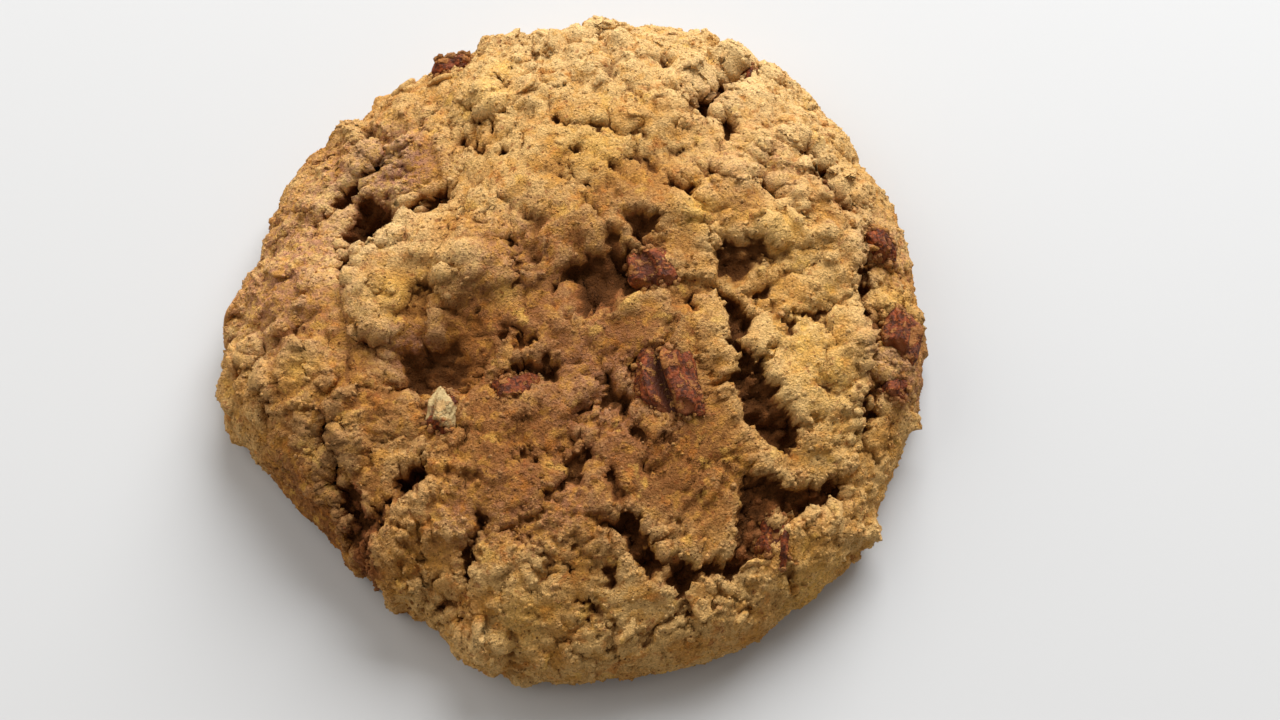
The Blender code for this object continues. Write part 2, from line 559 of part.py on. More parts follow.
def make_dough():
    """The dough: the fine grid, thinned, set flat on its base and fitted to the driving sizes."""
    places, faces = dough_grid()
    body = new_object("dough", places, [f for group in faces for f in group], DOUGH_COLOUR,
                      DOUGH_ROUGHNESS)
    thin = body.modifiers.new("Thin", "DECIMATE")
    thin.ratio = DOUGH_TRIANGLES / (2 * GRID_CELLS ** 2 + 2 * BASE_CELLS ** 2 + 16 * BASE_CELLS)
    apply_modifiers(body)
    mesh = body.data
    kept = np.empty(len(mesh.vertices) * 3)
    mesh.vertices.foreach_get("co", kept)
    kept = kept.reshape(-1, 3)
    kept[kept[:, 2] < BASE_SNAP, 2] = 0.0
    low, high = kept.min(0), kept.max(0)
    kept = (kept - (low + high) / 2) / (high - low) * [WIDTH, DEPTH, HEIGHT] + [0.0, 0.0, HEIGHT / 2]
    mesh.vertices.foreach_set("co", kept.ravel())
    mesh.update()
    return body


def top_height(body, x, y):
    """The height of an object's top at a place in plan, found by a ray from above."""
    hit, place, _, _ = body.ray_cast((x, y, 1.0), (0.0, 0.0, -1.0))
    return place.z if hit else 0.0


def nut_mesh(smoothness, half_sizes, turn, lean, seed, grow):
    """A broken nut piece about the origin: a ball with blunt sides, furrowed lengthways and chipped."""
    edit = bmesh.new()
    bmesh.ops.create_icosphere(edit, subdivisions=smoothness, radius=1.0)
    ball = np.array([v.co for v in edit.verts])
    blunt = ball / (np.sum(np.abs(ball) ** NUT_BLUNTNESS, axis=1) ** (1 / NUT_BLUNTNESS))[:, None]
    across = (blunt[:, 0] - FURROW_PLACE) / FURROW_WIDTH
    furrow = FURROW_DEPTH * np.exp(-across ** 2) * smooth(blunt[:, 2] - FURROW_START)
    chips = CHIP_DEPTH * soft_noise(blunt + seed * 3.0, CHIP_SIZE, seed)
    shape = blunt * (1.0 + chips)[:, None]
    shape[:, 2] -= furrow
    shape = shape * np.array(half_sizes) * MM
    shape += ball * grow
    cos_turn, sin_turn = math.cos(math.radians(turn)), math.sin(math.radians(turn))
    cos_lean, sin_lean = math.cos(math.radians(lean)), math.sin(math.radians(lean))
    leaned = shape @ np.array([[cos_lean, 0, -sin_lean], [0, 1, 0], [sin_lean, 0, cos_lean]])
    placed = leaned @ np.array([[cos_turn, sin_turn, 0], [-sin_turn, cos_turn, 0], [0, 0, 1]])
    for corner, place in zip(edit.verts, placed):
        corner.co = place
    faces = [[v.index for v in f.verts] for f in edit.faces]
    edit.free()
    return placed, faces


def add_nuts(dough):
    """Sets each nut piece in the dough and cuts a pocket for it, a little wider all round."""
    pockets = bpy.data.collections.new("pockets")
    bpy.context.scene.collection.children.link(pockets)
    for name, x, y, stand, half_sizes, turn, lean, seed in NUTS:
        middle = (x * MM, y * MM, top_height(dough, x * MM, y * MM) + stand * MM)
        smoothness = NUT_SMOOTHNESS.get(name, PLAIN_SMOOTHNESS)
        colour = PALE_NUT_COLOUR if name == "nut_pale" else NUT_COLOUR
        places, faces = nut_mesh(smoothness, half_sizes, turn, lean, seed, 0.0)
        nut = new_object(name, places, faces, colour, NUT_ROUGHNESS)
        nut.location = middle
        wider, faces = nut_mesh(smoothness, half_sizes, turn, lean, seed, POCKET_GAP)
        cutter = new_object("pocket_" + name, wider, faces, colour, NUT_ROUGHNESS)
        cutter.location = middle
        cutter.hide_render = True
        cutter.display_type = "WIRE"
        bpy.context.scene.collection.objects.unlink(cutter)
        pockets.objects.link(cutter)
    cut = dough.modifiers.new("Pockets", "BOOLEAN")
    cut.operation = "DIFFERENCE"
    cut.operand_type = "COLLECTION"
    cut.collection = pockets
    cut.solver = "EXACT"
    apply_modifiers(dough)
    keep_largest(dough)


def main():
    for old in list(bpy.data.objects):
        bpy.data.objects.remove(old)
    dough = make_dough()
    bpy.context.view_layer.update()
    add_nuts(dough)


main()
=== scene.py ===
# %% [markdown]
# # An oatmeal cookie with nut pieces
#
# A large drop cookie: stiff oat dough that is spooned on a tray, spreads a little in the oven, browns, and
# cracks as it sets. Its top is a landscape: ledges, open cracks, pits where nuts have sunk, and lumps where
# flakes of oat stand up under a thin crust. Cookies like this could be sculpted by hand or scanned. Here the
# landscape is a formula on a grid of numbers instead, so that every crag has a size that can be read.
#
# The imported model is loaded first. It gives the cookie's box and the place of each nut piece.

import math

import bmesh
import bpy
import numpy as np
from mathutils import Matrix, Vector
from mathutils.kdtree import KDTree


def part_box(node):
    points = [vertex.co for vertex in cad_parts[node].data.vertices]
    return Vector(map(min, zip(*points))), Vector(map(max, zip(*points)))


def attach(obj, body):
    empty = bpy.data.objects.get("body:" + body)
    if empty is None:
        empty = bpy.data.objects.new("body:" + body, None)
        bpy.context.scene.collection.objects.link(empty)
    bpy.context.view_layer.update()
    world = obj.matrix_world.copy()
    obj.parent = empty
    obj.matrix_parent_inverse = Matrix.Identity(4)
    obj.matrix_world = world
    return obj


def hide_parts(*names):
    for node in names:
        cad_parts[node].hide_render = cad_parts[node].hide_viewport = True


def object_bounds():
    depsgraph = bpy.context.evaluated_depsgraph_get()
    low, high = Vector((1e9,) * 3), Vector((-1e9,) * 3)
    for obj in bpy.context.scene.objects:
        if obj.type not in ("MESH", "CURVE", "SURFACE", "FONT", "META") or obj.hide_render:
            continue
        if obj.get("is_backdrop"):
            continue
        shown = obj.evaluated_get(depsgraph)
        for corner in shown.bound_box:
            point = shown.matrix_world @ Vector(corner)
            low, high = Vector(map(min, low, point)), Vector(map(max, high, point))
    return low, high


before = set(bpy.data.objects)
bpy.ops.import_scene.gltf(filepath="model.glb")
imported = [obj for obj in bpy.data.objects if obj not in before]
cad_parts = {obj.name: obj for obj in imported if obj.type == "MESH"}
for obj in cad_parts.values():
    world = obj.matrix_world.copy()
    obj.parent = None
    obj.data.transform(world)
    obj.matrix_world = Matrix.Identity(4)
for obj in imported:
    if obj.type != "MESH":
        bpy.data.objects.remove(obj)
cad_low, cad_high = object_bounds()
MM = 0.001
print("nodes:", sorted(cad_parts))
print("size in mm:", [round(side / MM, 1) for side in cad_high - cad_low])

# %% [markdown]
# ## Sizes of the cookie
#
# The plan isn't a circle. A spoonful of dough has shoulders and flats, so the rim is a list of radii, one for
# each 15 degrees, joined by a smooth curve. The side view is a superellipse, which is fuller than an ellipse:
# a cookie has steep flanks and a broad top. Below its widest ring it tucks in to a flat base.

# %% Driving sizes
BOX = np.array(cad_high - cad_low)
RIM_STEP = 15
RIM_RADII = (48.4, 49, 48, 49.5, 48.7, 48.5, 45.4, 43.7, 43.6, 42.5, 45.9, 44.2,
             46.2, 47, 43.2, 42.4, 43.2, 44.8, 47.3, 48, 48.6, 48.8, 47.6, 48.6)
LIP_HEIGHT = 3.2 * MM
LIP_TUCK = 2.2 * MM
MOUND_POWER = 2.35
TOP_SHARE = 0.94
CREST_SPACE = 3.0 * MM
SIDEWAYS = 0.35
CELLS = 294
BASE_CELLS = CELLS // 3
CRUMB_SPACE = 0.35 * MM
print("grid:", CELLS, "cells a side, about", round(1.08 * BOX[0] / MM / CELLS, 2), "mm each")

# %% [markdown]
# ## Features of the top
#
# These are the things one would point at on the real cookie, in millimetres from its middle: +X is right and
# +Y is away. A mass is a broad swelling. A ledge is a line with higher ground on its left. A crack is a line
# with a half width and a depth. A pit is an ellipse with two half widths, a turn and a depth.

# %% Masses and ledges
MASSES = (
    (12, 14, 20, 2.4), (0, 27, 14, 1.6), (-1, -30, 18, 1.6), (31, -11, 9, 1.4), (-33, -7, 10, 1.0),
    (-17, -10, 8, -2.4), (26, 4, 8, -1.2), (-29, 17, 8, -1.2), (33, 26, 9, 0.8), (-14, 33, 9, 0.8),
    (31, -33, 6, 0.8), (20, -40, 5, 0.8), (-34, -19, 5, 0.8), (-12, 31, 3, 0.9), (7.4, -0.4, 1.5, 2.2),
    (15.9, 11.9, 1.8, 1.3), (26.6, 10.2, 3.2, 1.4), (22.4, 18.2, 2.4, 1.2), (-11.2, 29.6, 2.4, 1.2),
    (-9.8, 34.6, 1.4, 0.8),
)
LEDGES = (
    (2.6, 9, ((-20, 15), (-22, 12.5), (-24, 9.5), (-26.5, 6), (-27.5, 1.5), (-28, -1.5), (-26, -4.5),
                (-21.5, -5.5))),
    (2.2, 12, ((-10, 20), (-12, 13), (-13, 9.5), (-15, 6), (-17, 2.5), (-18, -0.5), (-18.5, -4),
                (-12.5, -5))),
    (2.2, 9, ((-45, -10), (-38.5, -17), (-35.5, -21), (-32, -24.5), (-29.5, -27.5), (-27, -32.5),
               (-18, -41))),
    (2.0, 14, ((-18.5, -22.5), (-22, -26), (-24, -29), (-25.5, -32.5), (-23.5, -35.5), (-20, -38))),
    (1.8, 8, ((34, -26), (37.5, -20), (40, -13), (40.5, -4), (39, 2), (39.5, 9), (37.5, 14),
               (34.5, 19), (30, 23))),
    (1.6, 5, ((26.5, 37.5), (30, 35.5), (32, 34.5), (35, 32))),
    (2.4, 5, ((-4.5, 39), (0, 40), (4, 41.5), (6, 43.5))),
)
print(len(MASSES), "masses,", len(LEDGES), "ledges")

# %% Cracks
CRACKS = (
    # The canyon right of the middle, the hollow below it and the way down to the rim
    (1.2, 3.8, ((21.5, 1.5), (22.6, -2.4), (23.4, -6), (24, -10), (25, -13))),
    (2.7, 3.7, ((23.8, -7), (24.8, -11.5), (26, -15), (28.5, -17.5), (31, -18.8))),
    (2.2, 3.6, ((21.8, -25), (26.5, -25.3), (30.5, -26.5), (34.5, -24.3), (37, -22))),
    (2.1, 3.2, ((25.2, -25), (24.9, -28.5), (24.3, -31.5), (22.4, -35))),
    (1.1, 3.4, ((24.5, -32), (21.5, -35), (18.5, -35.4), (14, -36.8))),
    (1.5, 3.8, ((6.4, -27.4), (8.4, -30.5), (10.4, -33.2), (12.2, -35.8))),
    (0.6, 1.4, ((18.5, -37), (15.5, -40), (12.5, -42.2), (8.5, -44.6))),
    # Thin cracks between the plates of the lower half
    (0.6, 2.0, ((3.3, -18.4), (2.7, -21.3), (1.5, -22.6), (0.4, -24.8), (-1, -26.5), (-2.4, -28.2))),
    (0.5, 1.8, ((7.6, -22), (6.5, -25.2), (7.2, -28))),
    (0.5, 1.6, ((8.4, -16.4), (9.4, -18.4), (10.2, -20.5), (11.8, -24.6))),
    (0.6, 1.7, ((0.6, -16.8), (3.6, -14.9), (6, -14.5), (7.6, -12.6))),
    (0.8, 2.3, ((-9.6, -27), (-10.6, -31.7), (-11.8, -34.7), (-12.9, -38), (-15.4, -39.6))),
    (0.8, 2.0, ((-16.4, -38.2), (-12.4, -40.1), (-8.8, -41.8))),
    (0.4, 1.3, ((-6.2, -37.2), (-7.7, -39.7), (-8.5, -41.6))),
    (0.4, 1.3, ((-3, -32.2), (-1.9, -35.4), (-4.6, -38))),
    (0.6, 1.6, ((1.6, -39.2), (4.5, -40.5), (7.4, -42.2))),
    (0.4, 1.4, ((6.4, -31.4), (4.6, -29.8), (2.6, -28.8))),
    (0.4, 1.3, ((-18.4, -22.9), (-12.4, -24.2), (-8.6, -24.9))),
    (0.4, 1.1, ((17, -23.5), (19.5, -21.4), (22.4, -19.8))),
    (0.4, 1.4, ((14.4, -17), (17.2, -15.3), (20, -13.4))),
    # Grooves between the lumps of the left side
    (1.3, 3.6, ((-30.2, -12), (-30.2, -17), (-29.6, -21.5), (-27.8, -26), (-25.5, -30), (-24.5, -34.4))),
    (0.9, 2.4, ((-41.3, -2), (-40.6, -8), (-39.4, -12), (-37.2, -17.5))),
    (1.2, 3.2, ((-27.4, 10.4), (-29.4, 7), (-30.6, 3))),
    (0.9, 3.6, ((-26, 12.8), (-23.9, 13.9), (-21.5, 13.6), (-19, 13.9), (-16.5, 15.6), (-14.8, 16.2))),
    (1.2, 3.4, ((-33, 14.5), (-30.7, 16.8), (-28.9, 18.9), (-26.3, 21.2), (-24.5, 22.8), (-22, 23.6))),
    (0.9, 2.8, ((-22, -26), (-23.6, -29.3), (-25.3, -31.6), (-25.4, -34.2), (-22.4, -36.2))),
    # The groove inside the right rim, and the clefts of the top edge
    (1.6, 4.0, ((29.2, 24.2), (32.6, 23), (34.7, 20.1), (35.7, 17.4), (37.5, 15.6), (39.6, 12.6))),
    (1.0, 2.8, ((39.4, 13), (40, 7.8), (39.4, 2), (40.8, -2), (41.5, -6), (40.3, -9.5),
                (40, -13), (38.8, -17.6))),
    (1.3, 3.2, ((25.4, 19), (26.8, 17.4), (28.6, 15.2), (30, 12))),
    (1.7, 3.6, ((16.6, 26.2), (19, 29.6), (21, 32.4), (23.4, 36.2), (26, 39))),
    (0.8, 2.6, ((-3, 41.6), (0, 40.6), (3.4, 41.4), (5.4, 43))),
    (1.0, 2.0, ((12.4, 41), (14.2, 36.2), (15.8, 31.3), (16.8, 26.4))),
    (0.6, 2.2, ((-15, 29.6), (-12.6, 26.7), (-9.2, 25.4))),
    (0.4, 1.8, ((-12.5, 26.7), (-9.8, 26.9), (-5.4, 29.5))),
    (0.4, 1.5, ((-3, 26.8), (-0.4, 25.1), (2.2, 25.1), (5.2, 24.2))),
    # Small cracks near the middle
    (0.4, 1.4, ((6.6, 20.4), (9.7, 19.7), (11.8, 19.3))),
    (0.4, 1.6, ((-8.6, 8.2), (-6.5, 5.1), (-5.9, 1))),
    (0.4, 1.5, ((-1.6, 3.2), (-1.1, -1), (-0.1, -3), (1.6, -4.7))),
    (0.6, 2.0, ((-8.6, -4), (-5.8, -5.5), (-4, -7.2))),
    (0.8, 3.0, ((5.2, -9.8), (7, -13), (8.8, -17))),
    (0.6, 1.8, ((24.2, 1), (26.4, 2), (28.6, 2.8))),
    (0.5, 1.6, ((28.8, -5), (30.7, -2.3), (35.2, -0.8))),
    (0.4, 1.5, ((34, -5.8), (34.9, -7.4), (36, -9.2))),
    (0.5, 1.4, ((32, -9.2), (34.7, -12.4), (38, -13.8))),
)
print(len(CRACKS), "cracks")

# %% Pits
PITS = (
    (-27.4, 12.4, 4.8, 3.3, 36, 5.5), (-34, 13.5, 1.0, 1.6, 0, 3.0), (-25, -5.5, 1.4, 1.0, -20, 3.8),
    (-17.6, -8.6, 5.8, 3.6, -5, 1.8), (-33.4, -8.4, 0.9, 1.5, 0, 2.6), (-20.3, -24.4, 3.3, 1.5, 45, 5.6),
    (-5, -11, 3.5, 1.8, 12, 3.6), (6.0, 2.8, 6.4, 5.0, 12, 3.4), (3.2, 2.6, 2.2, 4.2, 10, 4.6),
    (8.8, 4.6, 2.8, 1.8, 0, 3.8), (10.4, 10, 2.6, 1.4, 0, 3.4), (23.4, 6.4, 4.2, 3.4, 20, 2.2),
    (16.6, -0.4, 1.3, 0.9, -30, 2.8), (19.6, 17.6, 0.9, 1.2, 0, 2.2), (15.4, 14.9, 1.7, 0.8, 0, 2.8),
    (22.3, 26.2, 1.2, 2.2, 15, 2.4), (15.7, 24.9, 0.8, 0.6, 0, 2.4), (15.4, -36.6, 2.7, 2.4, 0, 4.4),
    (6.1, -36.6, 1.0, 0.8, 20, 2.2), (0.4, -36.2, 0.5, 1.0, 10, 2.0), (-8.8, 33.3, 1.5, 0.7, 10, 2.4),
    (-4.5, 35.7, 0.9, 0.7, 0, 2.0), (-13, 22.9, 0.8, 1.3, 25, 2.0), (-8.8, 21, 0.9, 0.6, -20, 2.2),
    (-5.7, 21.4, 0.5, 1.1, 10, 2.2),
)
print(len(PITS), "pits")

# %% [markdown]
# Each nut piece has three half sizes, a turn and a lean in degrees, and notches for the grooves of its shell:
# the angle round its long axis, the width and the depth, the last two as shares of its size.

# %% Nut sizes
NUTS = {
    "nut_ridged": ((4.1, 6.0, 2.6), 12, 8, ((2.05, 0.34, 0.75), (0.9, 0.2, 0.18))),
    "nut_pale": ((2.1, 3.2, 2.4), -14, 12, ((2.6, 0.3, 0.2),)),
    "nut_sunk": ((2.9, 2.0, 1.8), 22, 0, ((1.2, 0.3, 0.3),)),
    "nut_rim_right": ((2.6, 4.2, 3.0), -6, 20, ((1.2, 0.28, 0.35), (0.2, 0.25, 0.3))),
    "nut_rim_low": ((1.7, 1.9, 1.7), 10, 0, ((0.9, 0.3, 0.3),)),
    "nut_rim_high": ((1.7, 2.8, 1.9), 14, 10, ((1.0, 0.3, 0.35),)),
    "nut_valley": ((2.2, 3.4, 2.0), -10, 0, ((1.5, 0.3, 0.35),)),
    "nut_crevice": ((1.6, 2.3, 1.6), -30, 0, ((1.7, 0.3, 0.3),)),
    "nut_hole": ((3.0, 3.2, 2.1), 20, 0, ((1.9, 0.4, 0.45),)),
    "nut_upper": ((1.2, 2.8, 1.5), 34, 0, ((1.6, 0.3, 0.3),)),
    "nut_back": ((2.6, 1.4, 1.4), 22, 0, ((1.6, 0.3, 0.3),)),
}
POCKET_SHARE = 0.8
POCKET_DEPTH = 2.0
for node, (half, turn, lean, notches) in NUTS.items():
    low, high = (np.array(corner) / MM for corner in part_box(node))
    x, y = (low + high)[:2] / 2
    PITS += ((x, y, POCKET_SHARE * half[0], POCKET_SHARE * half[1], turn, POCKET_DEPTH),)
print(len(NUTS), "nuts, each with a pocket under it")

# %% [markdown]
# ## Noise
#
# Baked dough is uneven at every scale. Two kinds of noise give that. Gradient noise is a smooth random
# landscape: each corner of a lattice has a random slope, and the slopes are blended. Cell noise scatters one
# point in each lattice cube and measures the distance to the nearest one, so round lumps appear with sharp
# creases between them. Both use the same small trick: whole numbers are scrambled into a repeatable fraction.

# %% Noise in three dimensions
NOISE_GAIN = 1.6


def smooth(t):
    """A number that eases from 0 to 1 as t goes from 0 to 1."""
    t = np.clip(t, 0.0, 1.0)
    return t * t * (3.0 - 2.0 * t)


def cell_number(cells, seed):
    """A repeatable number from 0 to 1 for each whole-numbered cell: its coordinates mixed by odd factors."""
    mixed = cells[..., 0] * 374761393 + cells[..., 1] * 668265263 + cells[..., 2] * 362437 + seed * 97531
    mixed = ((mixed & 0xFFFFFFFF) ^ ((mixed & 0xFFFFFFFF) >> 13)) * 1274126177 & 0xFFFFFFFF
    return ((mixed ^ (mixed >> 16)) & 0xFFFFFF) / float(0xFFFFFF)


def soft_noise(points, size, seed):
    """Gradient noise from about -1 to 1: each corner's slope times the offset from it, eased together."""
    scaled = points / size
    cell = np.floor(scaled).astype(np.int64)
    inside = scaled - cell
    eased = inside ** 3 * (inside * (inside * 6.0 - 15.0) + 10.0)
    total = np.zeros(len(points))
    for corner in np.ndindex(2, 2, 2):
        at = cell + corner
        slope = np.stack([cell_number(at, seed * 7 + axis) * 2.0 - 1.0 for axis in range(3)], axis=-1)
        weight = np.prod(np.where(np.array(corner) == 1, eased, 1.0 - eased), axis=-1)
        total += weight * np.sum(slope * (inside - corner), axis=-1)
    return total * NOISE_GAIN


def drift(points, size, seed):
    """Three soft noises as a vector, which pushes straight lines and round cells out of true."""
    return np.stack([soft_noise(points, size, seed + 10 * axis) for axis in range(3)], axis=1)


def nearest_lump(points, spacing, seed):
    """Distances in spacings to the nearest and the next middle, and the nearest lump's own number."""
    scaled = points / spacing
    cell = np.floor(scaled).astype(np.int64)
    nearest = np.full(len(points), 9.0)
    second = np.full(len(points), 9.0)
    own = np.zeros(len(points))
    for step in np.ndindex(3, 3, 3):
        at = cell + np.array(step) - 1
        middle = at + np.stack([cell_number(at, seed * 5 + axis) for axis in range(3)], axis=-1)
        distance = np.linalg.norm(scaled - middle, axis=-1)
        closer = distance < nearest
        second = np.where(closer, nearest, np.minimum(second, distance))
        nearest = np.where(closer, distance, nearest)
        own = np.where(closer, cell_number(at, seed * 5 + 3), own)
    return nearest, second, own


trial = np.random.default_rng(1).uniform(-0.05, 0.05, (2000, 3))
trial_noise = soft_noise(trial, 10 * MM, 1)
print("soft noise runs from", trial_noise.min().round(2), "to", trial_noise.max().round(2))

# %% [markdown]
# ## From a square grid to a mound
#
# A disc could be made of rings, but its middle would be a pinched fan. A square grid pressed into a disc has
# cells of nearly one size everywhere, so fine relief looks the same in the middle and at the rim. Square
# number k out from the middle becomes ring number k, and the outermost ring ends under the cookie's edge.

# %% Grid and mound
def square_corners(cells):
    """The two coordinates, from -1 to 1, of each corner of a square grid."""
    line = np.linspace(-1.0, 1.0, cells + 1)
    across, up = np.meshgrid(line, line, indexing="xy")
    return across.ravel(), up.ravel()


def concentric(across, up):
    """The angle and the share of the radius at places of a square that is pressed into a disc.

    The share is the larger of the two coordinates. The angle goes with the ratio of the smaller one to it.
    """
    share = np.maximum(np.abs(across), np.abs(up))
    safe = np.where(share == 0.0, 1.0, share)
    sideways = np.abs(across) >= np.abs(up)
    part = np.where(sideways, up / safe, -across / safe) * math.pi / 4
    beside = np.where(across >= 0.0, 0.0, math.pi)
    above = np.where(up >= 0.0, 0.5, -0.5) * math.pi
    quarter = np.where(sideways, beside, above)
    sign = np.where(np.where(sideways, across, up) < 0.0, -1.0, 1.0)
    return quarter + part * sign, share


def rim_radius(angle):
    """The rim's radius in a direction: a smooth periodic cubic through the listed radii."""
    radii = np.array(RIM_RADII) * MM
    steps = (np.degrees(angle) % 360.0) / RIM_STEP
    low = np.floor(steps).astype(int)
    part = steps - low
    before, here, after, beyond = (radii[(low + k) % len(radii)] for k in (-1, 0, 1, 2))
    bend = 2 * before - 5 * here + 4 * after - beyond
    twist = -before + 3 * here - 3 * after + beyond
    return here + 0.5 * part * ((after - before) + part * (bend + part * twist))


def mound(angle, share):
    """The plain mound: places, outward directions, and how much relief each place takes.

    Above the widest ring the section is a superellipse, radius sin(t)^(2/p) and height cos(t)^(2/p). Below it
    a quarter circle tucks in to the base, where the relief has died away.
    """
    radius = rim_radius(angle)
    tall = BOX[2] - LIP_HEIGHT - CREST_SPACE
    rise = np.clip(share / TOP_SHARE, 0.0, 1.0) * math.pi / 2
    tuck = np.clip((share - TOP_SHARE) / (1.0 - TOP_SHARE), 0.0, 1.0) * math.pi / 2
    out = np.sin(rise) ** (2 / MOUND_POWER)
    up = np.where(share >= TOP_SHARE, 0.0, np.maximum(np.cos(rise), 1e-9) ** (2 / MOUND_POWER))
    reach = radius * out - LIP_TUCK * (1.0 - np.cos(tuck))
    height = LIP_HEIGHT * (1.0 - np.sin(tuck)) + tall * up
    outward = np.where(share < TOP_SHARE, out ** (MOUND_POWER - 1) / radius, np.cos(tuck))
    upward = np.where(share < TOP_SHARE, up ** (MOUND_POWER - 1) / tall, -np.sin(tuck))
    size = np.hypot(outward, upward)
    around = np.stack([np.cos(angle), np.sin(angle)], axis=1)
    places = np.column_stack([around * reach[:, None], height])
    directions = np.column_stack([around * (outward / size)[:, None], upward / size])
    return places, directions, 1.0 - smooth(tuck / (math.pi / 2))


def grid_faces(cells, start=0):
    """The squares of a grid, facing up."""
    side = cells + 1
    corner = (np.arange(cells)[:, None] * side + np.arange(cells)[None, :]).ravel() + start
    return np.stack([corner, corner + 1, corner + side + 1, corner + side], axis=1)


def rim_ring(cells):
    """The numbers of a grid's edge corners, anticlockwise from its first corner."""
    side = cells + 1
    steps = np.arange(0, cells)
    return np.concatenate([steps, steps * side + cells, cells * side + cells - steps, (cells - steps) * side])


across, up = square_corners(CELLS)
plain_places = mound(*concentric(across, up))[0]
print("plain mound:", (np.ptp(plain_places, axis=0) / MM).round(1), "mm")

# %% [markdown]
# ## Ledges, cracks and pits in plan
#
# Each is measured in plan. For a line the useful number is the signed distance: how far a point lies from
# it, and on which side. A ledge is a steep step where that number changes sign. A crack is a trench where its
# size is small, which narrows to nothing at both ends.

# %% Heights in plan
EDGE_SOFTNESS = 0.32 * MM
PIT_UNEVENNESS = (3.0 * MM, 0.35, 37)
LEDGE_TAPER = 0.15
CRACK_TAPER = 0.2
PIT_REACH = 1.25
PIT_WALL = 0.7


def flat(plan):
    """Plan coordinates with a height of zero."""
    return np.column_stack([plan, np.zeros(len(plan))])


def line_distance(plan, corners):
    """Distance from each point to a line through corners, positive to its left, and its share along it."""
    corners = np.array(corners, float) * MM
    lengths = np.linalg.norm(np.diff(corners, axis=0), axis=1)
    before = np.concatenate([[0.0], np.cumsum(lengths)])
    nearest = np.full(len(plan), 1.0)
    signed = np.zeros(len(plan))
    along = np.zeros(len(plan))
    for start, end, length, run in zip(corners[:-1], corners[1:], lengths, before):
        way = (end - start) / length
        offset = plan - start
        reach = np.clip(offset @ way, 0.0, length)
        distance = np.linalg.norm(offset - reach[:, None] * way, axis=1)
        side = np.where(way[0] * offset[:, 1] - way[1] * offset[:, 0] >= 0.0, 1.0, -1.0)
        closer = distance < nearest
        nearest = np.where(closer, distance, nearest)
        signed = np.where(closer, distance * side, signed)
        along = np.where(closer, (run + reach) / before[-1], along)
    return signed, along


def turned(plan, x, y, degrees):
    """Plan coordinates about the point x, y, along axes turned by the angle."""
    angle = math.radians(degrees)
    offset = plan - np.array([x, y])
    return np.stack([offset @ [math.cos(angle), math.sin(angle)],
                     offset @ [-math.sin(angle), math.cos(angle)]], axis=1)


def bells(plan, rows):
    """The sum of soft round swellings: each is its height times exp(-(distance / radius)^2)."""
    total = np.zeros(len(plan))
    for x, y, radius, height in rows:
        away = np.linalg.norm(plan - np.array([x, y]) * MM, axis=1)
        total += height * np.exp(-((away / (radius * MM)) ** 2))
    return total


def ledge_height(plan):
    """Ledges: a steep step up at each line that dies away behind it and towards the line's ends."""
    total = np.zeros(len(plan))
    for rise, fade, corners in LEDGES:
        signed, along = line_distance(plan, corners)
        ends = smooth(along / LEDGE_TAPER) * smooth((1.0 - along) / LEDGE_TAPER)
        step = smooth(signed / EDGE_SOFTNESS * 0.5 + 0.5) * np.exp(-np.maximum(signed, 0.0) / (fade * MM))
        total += rise * MM * ends * step
    return total


def crack_depth(plan):
    """Cracks: steep walls, a flat bottom, narrow ends. Where two of them meet, the deeper one counts."""
    deepest = np.zeros(len(plan))
    for half_width, depth, corners in CRACKS:
        signed, along = line_distance(plan, corners)
        taper = np.sqrt(smooth(along / CRACK_TAPER) * smooth((1.0 - along) / CRACK_TAPER))
        inside = smooth((half_width * MM * taper - np.abs(signed)) / EDGE_SOFTNESS * 0.6 + 0.4)
        deepest = np.maximum(deepest, depth * MM * inside * taper)
    return deepest


def pit_depth(plan):
    """Pits: ellipses, uneven by a noise, with steep walls and a rounded floor."""
    deepest = np.zeros(len(plan))
    size, amount, seed = PIT_UNEVENNESS
    uneven = 1.0 + amount * soft_noise(flat(plan), size, seed)
    for x, y, along, across, turn, depth in PITS:
        local = turned(plan, x * MM, y * MM, turn) / (np.array([along, across]) * MM)
        away = np.linalg.norm(local, axis=1) * uneven
        deepest = np.maximum(deepest, depth * MM * smooth((PIT_REACH - away) / PIT_WALL))
    return deepest


LUMPY_PLACES = ((-37, -1, 15), (-30, -14, 10), (-27, 27, 10), (32, 16, 13), (-10, 38, 11), (20, 36, 12),
                (38, -28, 7), (43, -4, 7), (-8, -43, 8), (-14, 8, 7), (4, 38, 9))
PLAIN_LUMPINESS = 0.08
GAP_PLACES = (7 * MM, 2.2, 0.4)
GAP_SOFTNESS = 0.3 * MM
RAGGED = ((4.2 * MM, 1.2 * MM, 21), (1.9 * MM, 0.8 * MM, 22), (0.95 * MM, 0.35 * MM, 23))
TORN = ((2.0 * MM, 0.40 * MM, 24), (0.95 * MM, 0.32 * MM, 25))
SWELL = (9 * MM, 0.9 * MM, 31)
ROUGH_FLOOR = 0.4
FLOOR_NOISES = ((1.0, 2.2 * MM, 35), (0.7, 1.0 * MM, 36))
PLATES = ((10 * MM, 0.7 * MM, 0.28 * MM, 1.5 * MM, 91), (4.8 * MM, 0.35 * MM, 0.18 * MM, 0.9 * MM, 92))


def ragged(plan):
    """Plan coordinates pushed about, so that edges and cracks come out torn.

    Soft noise of three sizes bends them. Then each crumb-sized cell of the dough moves as one, in a direction
    of its own, which breaks the line up into corners.
    """
    level = flat(plan)
    moved = plan + sum(amount * drift(level, size, seed)[:, :2] for size, amount, seed in RAGGED)
    for spacing, amount, seed in TORN:
        way = 2 * math.pi * nearest_lump(level, spacing, seed)[2]
        moved = moved + amount * np.stack([np.cos(way), np.sin(way)], axis=1)
    return moved


